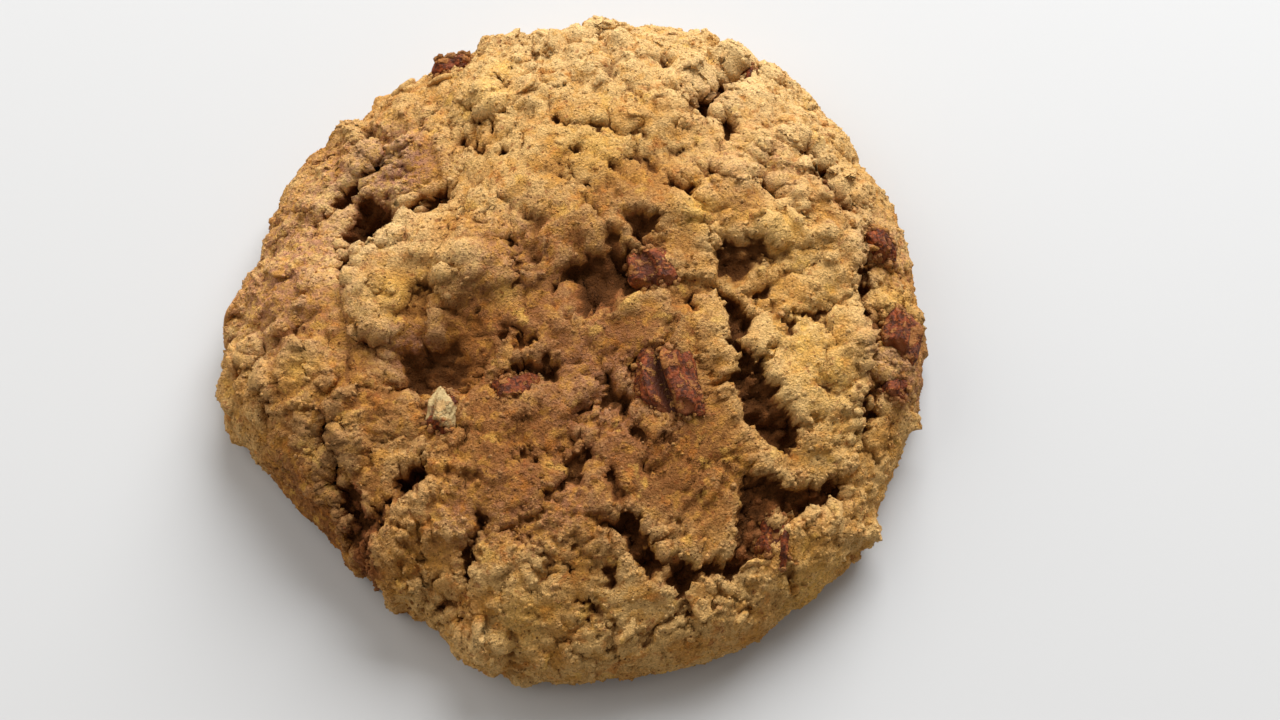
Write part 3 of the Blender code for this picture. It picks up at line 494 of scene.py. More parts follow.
def plates(plan, spacing, step, gap, depth, seed):
    """A crust broken into plates: each cell has its own level, and part of its edge is torn open.

    The level is the step times the cell's own number. The gap opens where the nearest two middles are equally
    far, and only where a slow noise is high.
    """
    level = flat(plan)
    nearest, second, own = nearest_lump(level, spacing, seed)
    size, contrast, middle = GAP_PLACES
    open_share = smooth(soft_noise(level, size, seed + 80) * contrast + middle)
    crack = smooth(1.0 - ((second - nearest) * spacing - gap) / GAP_SOFTNESS)
    return step * (own - 0.5) - depth * open_share * crack


# %% [markdown]
# Working all this out at every move of the mesh would be slow, so it is done once on a raster of the plan,
# like a contour map with a spot height every fifth of a millimetre. Reading between the spots is quick.

# %% Relief maps
MAP_STEP = 0.2 * MM
MAP_HALF = (BOX[:2] / 2 + 3 * MM) // MAP_STEP
map_x, map_y = (np.arange(-half, half + 1) * MAP_STEP for half in MAP_HALF)
map_plan = np.stack(np.meshgrid(map_x, map_y, indexing="ij"), axis=-1).reshape(-1, 2)


def as_map(values):
    """One number for each spot, as a grid."""
    return values.reshape(len(map_x), len(map_y))


def read_map(values, plan):
    """The map's value at each place, blended from the four spots round it."""
    x = np.clip((plan[:, 0] - map_x[0]) / MAP_STEP, 0, len(map_x) - 1.001)
    y = np.clip((plan[:, 1] - map_y[0]) / MAP_STEP, 0, len(map_y) - 1.001)
    i, j = x.astype(int), y.astype(int)
    right, away = x - i, y - j
    return (values[i, j] * (1 - right) * (1 - away) + values[i + 1, j] * right * (1 - away)
            + values[i, j + 1] * (1 - right) * away + values[i + 1, j + 1] * right * away)


torn_plan = ragged(map_plan)
lumpy_map = np.full(len(map_plan), PLAIN_LUMPINESS)
for x, y, radius in LUMPY_PLACES:
    away = np.linalg.norm(map_plan - np.array([x, y]) * MM, axis=1)
    lumpy_map = np.maximum(lumpy_map, np.exp(-((away / (radius * MM)) ** 2)))
flat_plan = flat(map_plan)
hollow_map = np.maximum(crack_depth(torn_plan), pit_depth(torn_plan))
floor_noise = sum(share * soft_noise(flat_plan, size, seed) for share, size, seed in FLOOR_NOISES)
hollow_map *= 1.0 + ROUGH_FLOOR * floor_noise
raised_map = bells(map_plan, MASSES) * MM + ledge_height(torn_plan)
raised_map += SWELL[1] * soft_noise(flat_plan, SWELL[0], SWELL[2])
raised_map += sum(plates(torn_plan, *row) for row in PLATES) * np.clip(1.1 - lumpy_map, 0.0, 1.0)
relief_map = as_map(raised_map - hollow_map)
hollow_map = as_map(hollow_map)
lumpy_map = as_map(lumpy_map)
print("map of", relief_map.shape, "spots, deepest hollow", round(hollow_map.max() / MM, 1), "mm")

# %% [markdown]
# ## Move the cells to where the relief is
#
# A cliff stretches the cells that lie on it, and stretched cells can't hold detail. So every edge of the grid
# is a spring as stiff as it is long, which pulls the corners in where the surface is steep. After each small
# pull the corners are set on the relief again, so that the cliffs stay sharp.

# %% Mound with relief
PULL_ROUNDS = 60
PULL = 0.6
SLIDE_ROUNDS = 2
SLIDE = 0.5


def outward(places, faces):
    """The unit outward direction at each place: the cross products of its squares' diagonals, summed."""
    corner = places[faces]
    cross = np.cross(corner[:, 2] - corner[:, 0], corner[:, 3] - corner[:, 1])
    total = np.stack([np.bincount(faces.ravel(), np.repeat(part, 4), len(places)) for part in cross.T], 1)
    return total / np.maximum(np.linalg.norm(total, axis=1), 1e-12)[:, None]


def with_relief(across, up):
    """The mound at places of the square, moved by the relief map, and each place's share of relief."""
    places, directions, share = mound(*concentric(across, up))
    moved = directions * [SIDEWAYS, SIDEWAYS, 1.0] * (read_map(relief_map, places[:, :2]) * share)[:, None]
    return places + moved, share


def pulled(across, up, rounds):
    """Moves the grid's inner corners towards the mean of their neighbours, weighted by the edges' lengths."""
    side = CELLS + 1
    square = np.stack([across, up], axis=-1).reshape(side, side, 2)
    for _ in range(rounds):
        places = with_relief(*square.reshape(-1, 2).T)[0].reshape(side, side, 3)
        along = np.linalg.norm(np.diff(places, axis=1), axis=2)[1:-1, :, None]
        beside = np.linalg.norm(np.diff(places, axis=0), axis=2)[:, 1:-1, None]
        total = along[:, :-1] + along[:, 1:] + beside[:-1] + beside[1:]
        mean = (along[:, :-1] * square[1:-1, :-2] + along[:, 1:] * square[1:-1, 2:]
                + beside[:-1] * square[:-2, 1:-1] + beside[1:] * square[2:, 1:-1]) / total
        square[1:-1, 1:-1] += PULL * (mean - square[1:-1, 1:-1])
    return square[..., 0].ravel(), square[..., 1].ravel()


def relaxed(places, faces, rounds):
    """Slides a grid's inner corners along its surface, part of the way to the mean of their neighbours."""
    side = CELLS + 1
    for _ in range(rounds):
        normal = outward(places, faces).reshape(side, side, 3)[1:-1, 1:-1]
        grid = places.reshape(side, side, 3)
        mean = (grid[:-2, 1:-1] + grid[2:, 1:-1] + grid[1:-1, :-2] + grid[1:-1, 2:]) / 4
        slide = mean - grid[1:-1, 1:-1]
        slide -= np.sum(slide * normal, axis=2, keepdims=True) * normal
        grid = grid.copy()
        grid[1:-1, 1:-1] += SLIDE * slide
        places = grid.reshape(-1, 3)
    return places


top_faces = grid_faces(CELLS)
across, up = pulled(across, up, PULL_ROUNDS)
coarse, relief_share = with_relief(across, up)
print("set", len(coarse), "places on the relief")

# %% [markdown]
# ## Lumps
#
# Where the crust is thin the oats push it up into knobbly lumps, most of all on the left, round the rim and
# at the top right. In the middle and below, the crust is smoother. A few soft bells say where it is lumpy.
# Lumps grow along the surface's own outward direction. On a cliff they grow sideways, which gives the
# overhanging, crumbly lips that a broken crust has.

# %% Lumps, knobs, pores and grain
LUMPS = ((5.8 * MM, 3.3 * MM, 3), (3.1 * MM, 1.3 * MM, 4))
CRAGS = ((4.4 * MM, 0.5 * MM, 6), (2.1 * MM, 0.45 * MM, 7), (1.1 * MM, 0.34 * MM, 8))
GRAIN = ((0.16 * MM, 1.5 * MM, 34), (0.17 * MM, 0.7 * MM, 33))
PORES = ((2.2 * MM, 0.42 * MM, 0.8 * MM, 0.3, 41), (5.2 * MM, 0.75 * MM, 1.4 * MM, 0.25, 42))
LUMP_DRIFT = 0.38
LUMP_REACH = 0.9
LEAST_LUMP = 0.25
CREASE_HEIGHT = 0.55
CREASE_WIDTH = 0.4
PORE_DRIFT = 0.2
PORE_WALL = 0.6
DEEP_START = 0.4 * MM
DEEP_SPAN = 2.2 * MM
LESS_IN_HOLLOWS = 0.85
SMALL_IN_HOLLOWS = 0.6
PLAIN_KNOBS = 0.34
LUMPY_KNOBS = 0.66
HOLLOW_KNOBS = 1.3
BILLOW_MEAN = 0.25


def lump_layer(points, spacing, height, seed):
    """Domed lumps: the height times sqrt(1 - distance^2), lower where two lumps meet, in a crease.

    The lattice is drifted first, so that no two lumps are alike.
    """
    moved = points + LUMP_DRIFT * spacing * drift(points, spacing * 0.7, seed + 60)
    away, second, own = nearest_lump(moved, spacing, seed)
    dome = np.sqrt(np.clip(1.0 - (away / LUMP_REACH) ** 2, 0.0, 1.0))
    crease = CREASE_HEIGHT + (1 - CREASE_HEIGHT) * smooth((second - away) / CREASE_WIDTH)
    return height * (LEAST_LUMP + (1 - LEAST_LUMP) * own) * dome * crease


def crags(points, size, height, seed):
    """Billows: the size of a soft noise without its sign, so round swellings meet in sharp creases."""
    return height * (np.abs(soft_noise(points, size, seed)) - BILLOW_MEAN)


def pores(points, spacing, radius, depth, share, seed):
    """Small holes where steam got out: round pits in that share of the cells."""
    moved = points + PORE_DRIFT * spacing * drift(points, spacing * 0.4, seed + 60)
    away, _, own = nearest_lump(moved, spacing, seed)
    return depth * smooth((radius / spacing - away) / (PORE_WALL * radius / spacing)) * (own < share)


lumpy = read_map(lumpy_map, coarse[:, :2])
deep = np.clip((read_map(hollow_map, coarse[:, :2]) * relief_share - DEEP_START) / DEEP_SPAN, 0.0, 1.0)
large, small = (lump_layer(coarse, *row) for row in LUMPS)
lumps = large * lumpy * (1 - LESS_IN_HOLLOWS * deep) + small * np.maximum(lumpy, SMALL_IN_HOLLOWS * deep)
lumps *= relief_share
lumped = coarse + outward(coarse, top_faces) * lumps[:, None]
lumped = relaxed(lumped, top_faces, SLIDE_ROUNDS)
knob_share = np.maximum(PLAIN_KNOBS + LUMPY_KNOBS * lumpy, HOLLOW_KNOBS * np.sqrt(deep))
knobs = sum(crags(lumped, *row) for row in CRAGS) * knob_share
grain = sum(height * soft_noise(lumped, size, seed) for height, size, seed in GRAIN)
holes = sum(pores(lumped, *row) for row in PORES)
fine = (knobs + grain - holes) * relief_share
top = lumped + outward(lumped, top_faces) * fine[:, None]
print("lumps up to", round(lumps.max() / MM, 1), "mm")

# %% [markdown]
# ## The base, and one closed skin
#
# The underside set against the tray: flat, with small blisters where fat and steam collected. It needs less
# detail than the top, so its grid is three times as coarse. A strip of triangles joins three fine edges to
# one coarse edge all the way round, so the skin has no gap. At last the whole skin is fitted to the packed
# model's box, less the room that loose grains take.

# %% Base and skin
BASE_REACH = 0.985
BLISTERS = ((5.5 * MM, 1.6 * MM, 0.7 * MM, 0.35, 51), (3.0 * MM, 0.8 * MM, 0.5 * MM, 0.3, 52))


def base_places(rim):
    """The flat base inside the rim: rays from the middle, with blisters off the tray, none at the rim."""
    angle, share = concentric(*square_corners(BASE_CELLS))
    edge = np.linalg.norm(rim[:, :2], axis=1)
    around = np.arctan2(rim[:, 1], rim[:, 0])
    order = np.argsort(around)
    reach = BASE_REACH * share * np.interp(angle, around[order], edge[order], period=2 * math.pi)
    places = flat(np.column_stack([np.cos(angle) * reach, np.sin(angle) * reach]))
    blister = sum(pores(places, *row) for row in BLISTERS)
    places[:, 2] = blister * smooth((0.94 - share) / 0.1)
    return places


def closing_strip(rim, coarse_rim):
    """Triangles that join three fine edges to each coarse edge, all facing down and out."""
    owner = (np.arange(len(rim)) + 1) // 3 % len(coarse_rim)
    strip = np.stack([np.roll(rim, -1), rim, coarse_rim[owner]], axis=1)
    middle = np.arange(len(coarse_rim)) * 3 + 1
    joins = np.stack([rim[middle + 1], coarse_rim, np.roll(coarse_rim, -1)], axis=1)
    return strip, joins


top[:, 2] = np.maximum(top[:, 2], 0.0)
rim_numbers = rim_ring(CELLS)
top[rim_numbers, 2] = 0.0
base = base_places(top[rim_numbers])
skin = np.vstack([top, base])
strip, joins = closing_strip(rim_numbers, rim_ring(BASE_CELLS) + len(top))
base_faces = grid_faces(BASE_CELLS, len(top))[:, ::-1]
skin_faces = [face for part in (top_faces, base_faces, strip, joins) for face in part.tolist()]
low, high = skin.min(0), skin.max(0)
room = np.array([2 * CRUMB_SPACE, 2 * CRUMB_SPACE, CRUMB_SPACE])
centre = (np.array(cad_low) + np.array(cad_high)) / 2 - [0.0, 0.0, CRUMB_SPACE / 2]
skin = (skin - (low + high) / 2) / (high - low) * (BOX - room) + centre
top = skin[:len(top)]
top_normals = outward(top, top_faces)
print("skin:", (np.ptp(skin, axis=0) / MM).round(2), "mm,", len(skin_faces), "faces")

# %% [markdown]
# ## Numbers that the material reads
#
# The colour follows the shape and the zone. Raised tips and edges are painted paler, a painted highlight, and
# creases and hollows are painted dark, a painted shade. By zone the crust is browner in the middle, on the
# near slopes and at the lower left, partly from toasting and partly as painted shade, and paler on the lit
# far rim, partly as painted light. Each such fact is a number at every corner of the skin, kept as an
# attribute, so the material can read it.

# %% Attributes of the skin
def blurred(values, reach):
    """The running mean of a grid of values over that many cells each way, taken twice."""
    grid = values.reshape(CELLS + 1, CELLS + 1)
    for _ in range(2):
        for axis in (0, 1):
            pad = [(reach + 1, reach) if a == axis else (0, 0) for a in (0, 1)]
            total = np.cumsum(np.pad(grid, pad, mode="edge"), axis=axis)
            later = np.take(total, range(2 * reach + 1, total.shape[axis]), axis=axis)
            earlier = np.take(total, range(total.shape[axis] - 2 * reach - 1), axis=axis)
            grid = (later - earlier) / (2 * reach + 1)
    return grid.ravel()


def standing_out(places, normals, reach):
    """How far each place stands out from its surroundings, along its outward direction, in metres."""
    mean = np.stack([blurred(places[:, axis], reach) for axis in range(3)], axis=1)
    spread = np.stack([blurred(normals[:, axis], reach) for axis in range(3)], axis=1)
    spread /= np.linalg.norm(spread, axis=1)[:, None]
    return np.sum((places - mean) * spread, axis=1)


NEAR_REACH, NEAR_HEIGHT = 4, 0.45 * MM
FAR_REACH, FAR_HEIGHT = 14, 1.6 * MM
near = standing_out(top, top_normals, NEAR_REACH) / NEAR_HEIGHT
far = standing_out(top, top_normals, FAR_REACH) / FAR_HEIGHT
# Bells of browning: positive ones brown the crust, negative ones pale it. Besides toasting, they paint shade
# on the near slopes and the lower left, and paint light on the far rim where the lamp falls.
TOAST_AND_SHADING_PLACES = ((0, -8, 19, 1.1), (8, 16, 12, 0.5), (-6, -26, 12, 0.5), (16, -24, 14, 0.6),
                  (-16, -6, 9, 0.5),
                  (-34, -28, 12, 1.1), (44, -4, 8, 0.9), (-22, 22, 8, 0.5), (-30, -12, 9, 0.5),
                  (-38, -2, 8, 0.45),
                  (30, 38, 14, -0.9), (0, 42, 16, -0.8), (32, -8, 9, -0.3), (-22, 9, 8, -0.7),
                  (-2, -38, 12, -0.1))
BLUSHED_PLACES = ((-38, 6, 12, 0.9), (-28, 20, 9, 0.8), (-8, 6, 7, 0.5), (24, 20, 8, 0.5),
                  (4, -12, 8, 0.5),
                  (42, -6, 6, 0.8), (41, 10, 5, 0.8), (-7, -28, 6, 0.3), (-20.5, -6.3, 3, 0.9),
                  (0, -27, 3, 0.4),
                  (-13.9, -28, 3, 0.5), (-23.3, 20.6, 4, 0.9), (18.5, 31, 3, 0.7))
BUTTERY_PLACES = ((-11.4, 30, 2.4, 0.9), (-8.3, 0.6, 1.6, 0.8), (-34.4, -8.8, 2.2, 0.8), (-23, 1, 2.4, 0.9),
                  (23, 22.5, 2.2, 0.6),
                  (15.9, 11.9, 2.2, 1.0), (26.6, 10.2, 3.2, 0.8), (7.2, -0.2, 1.5, 1.0),
                  (-9.8, 34.6, 1.6, 0.8),
                  (3, 21, 4, 0.5), (32, -8, 9, 0.35), (31, -36, 4, 0.6), (-6, -40, 3, 0.5),
                  (42, 2, 3, 0.8), (-38, -27, 3, 0.5))
toast_and_shading = bells(top[:, :2], TOAST_AND_SHADING_PLACES)
blush = bells(top[:, :2], BLUSHED_PLACES)
butter = np.clip(bells(top[:, :2], BUTTERY_PLACES), 0.0, 1.0)
print("stands out: near", near.std().round(2), "far", far.std().round(2))


def make_object(name, places, faces, attributes=()):
    """A mesh object at the origin, its place in its mesh, with a float attribute for each name and values."""
    mesh = bpy.data.meshes.new(name)
    mesh.from_pydata(places.tolist(), [], faces if isinstance(faces, list) else faces.tolist())
    for label, values in attributes:
        mesh.attributes.new(label, "FLOAT", "POINT").data.foreach_set("value", np.asarray(values, np.float32))
    mesh.shade_smooth()
    made = bpy.data.objects.new(name, mesh)
    bpy.context.scene.collection.objects.link(made)
    return made


FACTS = {"near": near, "far": far, "toast_and_shading": toast_and_shading, "blush": blush, "butter": butter, "deep": deep,
         "under": 1.0 - relief_share}
PLAIN_FACTS = dict.fromkeys(FACTS, 0.0)
UNDER_FACTS = {**PLAIN_FACTS, "toast_and_shading": 1.0, "under": 1.0}
# Crumbs on the nuts count as partly deep, so they take some painted shade of the hollows.
NUT_CRUMB_FACTS = {**PLAIN_FACTS, "near": 0.2, "toast_and_shading": 0.6, "blush": 0.4, "deep": 0.35}


def facts_at(facts, numbers, repeats, **changed):
    """The facts at some corners, repeated for every corner of the small piece that sits on each."""
    return [(name, np.repeat(changed.get(name, values[numbers]), repeats))
            for name, values in facts.items()]


skin_facts = [(name, np.append(values, np.full(len(base), UNDER_FACTS[name])))
              for name, values in FACTS.items()]
crust = make_object("crust", skin, skin_faces, skin_facts)
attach(crust, "root")
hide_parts("dough")
print("crust:", len(crust.data.polygons), "faces")

# %% [markdown]
# ## Oat flakes
#
# Rolled oats are ovals about as long as a fingernail is wide, pressed flat and often broken, with a groove
# along the middle. Those at the surface lie at all slants, half drowned in dough. Each is a thin closed lens
# of rings and spokes. All of them are worked out at once, as one array of flake by ring by spoke.

# %% Flakes in one mesh
def frames(normals, draw, slant):
    """Three axes for each outward direction: one tipped from it by the slant, and two across that one."""
    tipped = normals + draw.normal(0.0, slant, normals.shape)
    tipped /= np.linalg.norm(tipped, axis=1)[:, None]
    any_way = draw.normal(0.0, 1.0, normals.shape)
    first = np.cross(any_way, tipped)
    first /= np.linalg.norm(first, axis=1)[:, None]
    return np.stack([first, np.cross(tipped, first), tipped], axis=1)


def spread_places(count, weights, gap, draw):
    """The numbers of that many grid corners, drawn by weight, no two closer than the gap."""
    order = draw.choice(len(top), min(len(top), count * 14), replace=False, p=weights / weights.sum())
    kept = []
    cells = {}
    for number in order:
        key = tuple(np.floor(top[number] / gap).astype(int))
        if key not in cells:
            cells[key] = number
            kept.append(number)
        if len(kept) == count:
            break
    return np.array(kept)


SPOKES = 22
FLAKE_RINGS = ((0.0, 1.0), (0.35, 0.98), (0.68, 0.9), (0.9, 0.62), (1.0, 0.1), (0.9, -0.5), (0.5, -0.9),
               (0.0, -1.0))


def flake_mesh(numbers, draw):
    """Flakes at those grid corners: ovals of uneven edge, cupped and twisted, with a groove along the top."""
    count = len(numbers)
    spoke = np.linspace(0.0, 2 * math.pi, SPOKES, endpoint=False)
    ring = np.array(FLAKE_RINGS)
    half_length = draw.uniform(1.5, 2.6, count) * MM
    half_width = half_length * draw.uniform(0.62, 0.88, count)
    thick = draw.uniform(0.4, 0.7, count) * MM
    edge = np.ones((count, SPOKES))
    for waves in (2, 3, 5, 7):
        height = draw.uniform(0.03, 0.11, (count, 1))
        edge += height * np.cos(waves * spoke + draw.uniform(0, 6.3, (count, 1)))
    radial = ring[:, 0][None, :, None] * edge[:, None, :]
    x = radial * np.cos(spoke) * half_length[:, None, None]
    y = radial * np.sin(spoke) * half_width[:, None, None]
    z = ring[:, 1][None, :, None] * thick[:, None, None] * np.ones_like(x)
    cup = draw.uniform(-0.05, 0.11, (count, 1, 1)) / MM
    twist = draw.uniform(-0.06, 0.06, (count, 1, 1)) / MM
    groove = 0.16 * MM * np.exp(-((y / (0.32 * MM)) ** 2)) * (ring[:, 1][None, :, None] > 0.5)
    z = z + cup * x ** 2 + twist * x * y - groove
    local = np.stack([x, y, z], axis=-1).reshape(count, -1, 3)
    turned_local = np.einsum("fvk,fka->fva", local, frames(top_normals[numbers], draw, 0.30))
    sunk = top[numbers] - top_normals[numbers] * draw.uniform(0.5, 1.0, (count, 1)) * MM
    return turned_local + sunk[:, None, :]


def lens_faces(count, rings, spokes):
    """Squares between neighbouring rings of each lens. Its first and last rings are points, welded later."""
    ring, spoke = np.meshgrid(np.arange(rings - 1), np.arange(spokes), indexing="ij")
    here = ring * spokes + spoke
    beside = ring * spokes + (spoke + 1) % spokes
    one = np.stack([here, here + spokes, beside + spokes, beside], axis=-1).reshape(-1, 4)
    return (one[None] + (np.arange(count) * rings * spokes)[:, None, None]).reshape(-1, 4)


def weld(made, distance):
    """Merges corners that lie at one place, such as the rings that have shrunk to a point."""
    edit = bmesh.new()
    edit.from_mesh(made.data)
    bmesh.ops.remove_doubles(edit, verts=edit.verts, dist=distance)
    edit.to_mesh(made.data)
    edit.free()
    made.data.shade_smooth()


def in_the_box(placed):
    """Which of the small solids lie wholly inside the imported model's box."""
    return ((placed >= np.array(cad_low)) & (placed <= np.array(cad_high))).all(axis=(1, 2))


FLAKE_COUNT = 38
FLAKE_GAP = 3.2 * MM
WELD_GAP = 0.001 * MM
draw = np.random.default_rng(11)
above = (top[:, 2] > 4 * MM) & (relief_share > 0.99)
flake_weights = above * np.clip(lumpy, 0.3, 1.0) * np.clip(1 + far, 0.1, 2.0)
flake_numbers = spread_places(FLAKE_COUNT, flake_weights, FLAKE_GAP, draw)
flake_places = flake_mesh(flake_numbers, draw)
whole = in_the_box(flake_places)
flake_numbers, flake_places = flake_numbers[whole], flake_places[whole].reshape(-1, 3)
# Each flake stands out by a random amount, which sets how much painted highlight it takes.
flake_near = draw.uniform(0.3, 1.6, len(flake_numbers))
flakes = make_object("oat_flakes", flake_places, lens_faces(len(flake_numbers), len(FLAKE_RINGS), SPOKES),
                     facts_at(FACTS, flake_numbers, len(FLAKE_RINGS) * SPOKES, near=flake_near))
weld(flakes, WELD_GAP)
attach(flakes, "root")
print(len(flake_numbers), "flakes,", len(flakes.data.polygons), "faces")

# %% [markdown]
# ## Crumbs and grains
#
# Seen close, the crust is sandy: sugar that has melted and set, specks of flour and broken oat. Two sizes
# make it. Crumbs stick to edges and lumps and give them their ragged outline. Fine grains lie everywhere. A
# real grain has no fixed shape, so each is a small regular solid with its corners pushed about: twenty faces
# for a crumb, eight for a grain, which is enough at a fifth of a millimetre.

# %% Scattered solids
GOLDEN = (1 + 5 ** 0.5) / 2
TWENTY_FACES = np.array([(a, b * GOLDEN, 0) for a in (-1, 1) for b in (-1, 1)]
                        + [(0, a, b * GOLDEN) for a in (-1, 1) for b in (-1, 1)]
                        + [(b * GOLDEN, 0, a) for a in (-1, 1) for b in (-1, 1)]) / math.hypot(1, GOLDEN)
EIGHT_FACES = np.vstack([np.eye(3), -np.eye(3)])


def regular_faces(corners):
    """The triangles of a regular solid: every three corners that are one edge length apart, facing out."""
    apart = np.linalg.norm(corners[:, None] - corners[None], axis=2)
    joined = np.abs(apart - apart[apart > 0].min()) < 1e-6
    number = len(corners)
    faces = np.array([(i, j, k)
                      for i in range(number) for j in range(i + 1, number) for k in range(j + 1, number)
                      if joined[i, j] and joined[j, k] and joined[i, k]])
    a, b, c = (corners[faces[:, n]] for n in range(3))
    inward = np.sum(np.cross(b - a, c - a) * a, axis=1) < 0
    faces[inward] = faces[inward][:, ::-1]
    return faces


def scattered(name, corners, seats, weights, count, smallest, largest, sunk, lighter, seed):
    """Small solids at seats drawn by weight: stretched and dented at random, sunk by a share of their size.

    The seats are places, their outward directions and the facts there.
    """
    places, normals, facts = seats
    draw = np.random.default_rng(seed)
    numbers = draw.choice(len(places), count, replace=False, p=weights / weights.sum())
    sizes = smallest + (largest - smallest) * draw.random(count) ** 2.2
    dented = corners[None] * draw.uniform(0.70, 1.30, (count, len(corners), 1))
    local = dented * draw.uniform(0.65, 1.3, (count, 1, 3)) * sizes[:, None, None]
    placed = np.einsum("fvk,fka->fva", local, frames(normals[numbers], draw, 0.6))
    placed += (places[numbers] - normals[numbers] * (sizes * sunk)[:, None])[:, None, :]
    kept = in_the_box(placed)
    numbers, placed = numbers[kept], placed[kept]
    starts = (np.arange(len(numbers)) * len(corners))[:, None, None]
    faces = (regular_faces(corners)[None] + starts).reshape(-1, 3)
    # The standing-out number, moved at random, sets how much painted highlight or painted shade each small
    # solid takes.
    shade = facts["near"][numbers] + draw.normal(lighter, 0.8, len(numbers))
    piece = make_object(name, placed.reshape(-1, 3), faces,
                        facts_at(facts, numbers, len(corners), near=shade))
    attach(piece, "root")
    print(name, len(numbers), "of them,", len(faces), "faces")
    return piece


open_crust = (relief_share > 0.5) * 1.0
edges = open_crust * (0.2 + np.clip(near, 0.0, 2.0) + 0.4 * np.clip(lumpy, 0.0, 1.0) + 0.4 * deep)
skin_seats = (top, top_normals, FACTS)
crumbs = scattered("crust_crumbs", TWENTY_FACES, skin_seats, edges, 9400, 0.15 * MM, 0.52 * MM, 0.5, 0.2, 12)
grains = scattered("crust_grains", EIGHT_FACES, skin_seats, open_crust, 24000, 0.11 * MM, 0.25 * MM,
                   0.45, 0.0, 13)

# %% [markdown]
# ## Nut pieces
#
# The nuts are broken pecans: red-brown skin, deep grooves lengthways, cream flesh where they have snapped.
# A piece is a closed surface of two parameters, round and along. Its section is a blunt oval with notches for
# the grooves. A broken end is the same surface cut off by a slanting plane, where the flesh shows.

# %% Nut surfaces
AROUND = 96
ALONG = 64
SECTION_POWER = 2 / 2.3
SNAPS = (((0.25, 1.0, 0.3), 0.78), ((-0.3, -1.0, 0.35), 0.8))
SNAP_UNEVENNESS = 0.14
DENT, DENT_SIZE = 0.30, 0.8
WRINKLE, WRINKLE_SIZE = 0.08, (0.16, 0.45, 0.16)


def nut_surface(half, notches, seed):
    """A nut piece about the origin, and how much of each place is broken flesh or lies in a groove.

    Along is y from end to end. The section at each y is a superellipse whose radius is cut by steep notches,
    and noise dents it and wrinkles the skin. Two slanting, uneven planes then snap the ends off.
    """
    around = np.linspace(0.0, 2 * math.pi, AROUND, endpoint=False)[None, :]
    along = np.linspace(0.0, math.pi, ALONG + 1)[:, None]
    ring = np.sin(along) ** SECTION_POWER
    x = ring * np.sign(np.cos(around)) * np.abs(np.cos(around)) ** SECTION_POWER
    z = ring * np.sign(np.sin(around)) * np.abs(np.sin(around)) ** SECTION_POWER
    y = np.sign(np.cos(along)) * np.abs(np.cos(along)) ** SECTION_POWER * np.ones_like(x)
    groove = np.zeros_like(x)
    for angle, width, depth in notches:
        cut = depth * smooth((1.3 - np.abs(around - angle + 0.12 * np.sin(3 * along + seed)) / width) / 0.6)
        x = x * (1 - cut)
        z = z * (1 - cut)
        groove = np.maximum(groove, cut)
    shape = np.stack([x, y, z], axis=-1).reshape(-1, 3)
    dent = DENT * soft_noise(shape + seed * 3.0, DENT_SIZE, seed)
    wrinkle = WRINKLE * soft_noise(shape + seed, WRINKLE_SIZE, seed)
    shape *= (1 + (dent + wrinkle))[:, None]
    flesh = np.zeros(len(shape))
    for way, reach in SNAPS:
        way = np.array(way) / np.linalg.norm(way)
        past = shape @ way - reach - SNAP_UNEVENNESS * soft_noise(shape + seed, 0.35, seed + 5)
        shape -= np.maximum(past, 0.0)[:, None] * way
        flesh = np.maximum(flesh, smooth(past / 0.03))
    return shape * np.array(half) * MM, flesh, groove.ravel()


def turn_and_lean(places, turn, lean):
    """Leans places about Y, then turns them about Z, both in degrees."""
    cos, sin = math.cos(math.radians(lean)), math.sin(math.radians(lean))
    leaned = places @ np.array([[cos, 0, -sin], [0, 1, 0], [sin, 0, cos]])
    cos, sin = math.cos(math.radians(turn)), math.sin(math.radians(turn))
    return leaned @ np.array([[cos, sin, 0], [-sin, cos, 0], [0, 0, 1]])


nuts = {}
nut_corners = []
for seed, (node, (half, turn, lean, notches)) in enumerate(NUTS.items(), 1):
    places, flesh, groove = nut_surface(half, notches, seed)
    places = turn_and_lean(places, turn, lean)
    low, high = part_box(node)
    places += (np.array(low) + np.array(high)) / 2 - (places.min(0) + places.max(0)) / 2
    faces = lens_faces(1, ALONG + 1, AROUND)
    nut_corners.append((places, outward(places, faces)))
    piece = make_object(node + "_piece", places, faces, (("flesh", flesh), ("groove", groove)))
    weld(piece, WELD_GAP)
    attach(piece, "root")
    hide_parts(node)
    nuts[node] = piece
print(len(nuts), "nut pieces")

# %% [markdown]
# Dough clings to the nuts where they leave it. The distance from each corner of a nut to the skin is found
# with a search tree, and crumbs are scattered on the nuts mostly where that distance is small.

# %% Crumbs on the nuts
CLING_REACH = 0.5 * MM
CLING_EVERYWHERE = 0.05
seats, seat_normals = (np.vstack(rows) for rows in zip(*nut_corners))
nearest_skin = KDTree(len(top))
for number, place in enumerate(top):
    nearest_skin.insert(place, number)
nearest_skin.balance()
to_skin = np.array([nearest_skin.find(place)[2] for place in seats])
cover = np.exp(-((to_skin / CLING_REACH) ** 2)) + CLING_EVERYWHERE
cover *= (seat_normals[:, 2] > -0.3) & (np.linalg.norm(seat_normals, axis=1) > 0.5)
seat_facts = {name: np.full(len(seats), value) for name, value in NUT_CRUMB_FACTS.items()}
nut_seats = (seats, seat_normals, seat_facts)
nut_crumbs = scattered("nut_crumbs", TWENTY_FACES, nut_seats, cover, 2400, 0.15 * MM, 0.60 * MM, 0.5, 0.2, 14)

# %% [markdown]
# ## Materials
#
# Small functions keep the node trees short: each adds one node and returns its output.

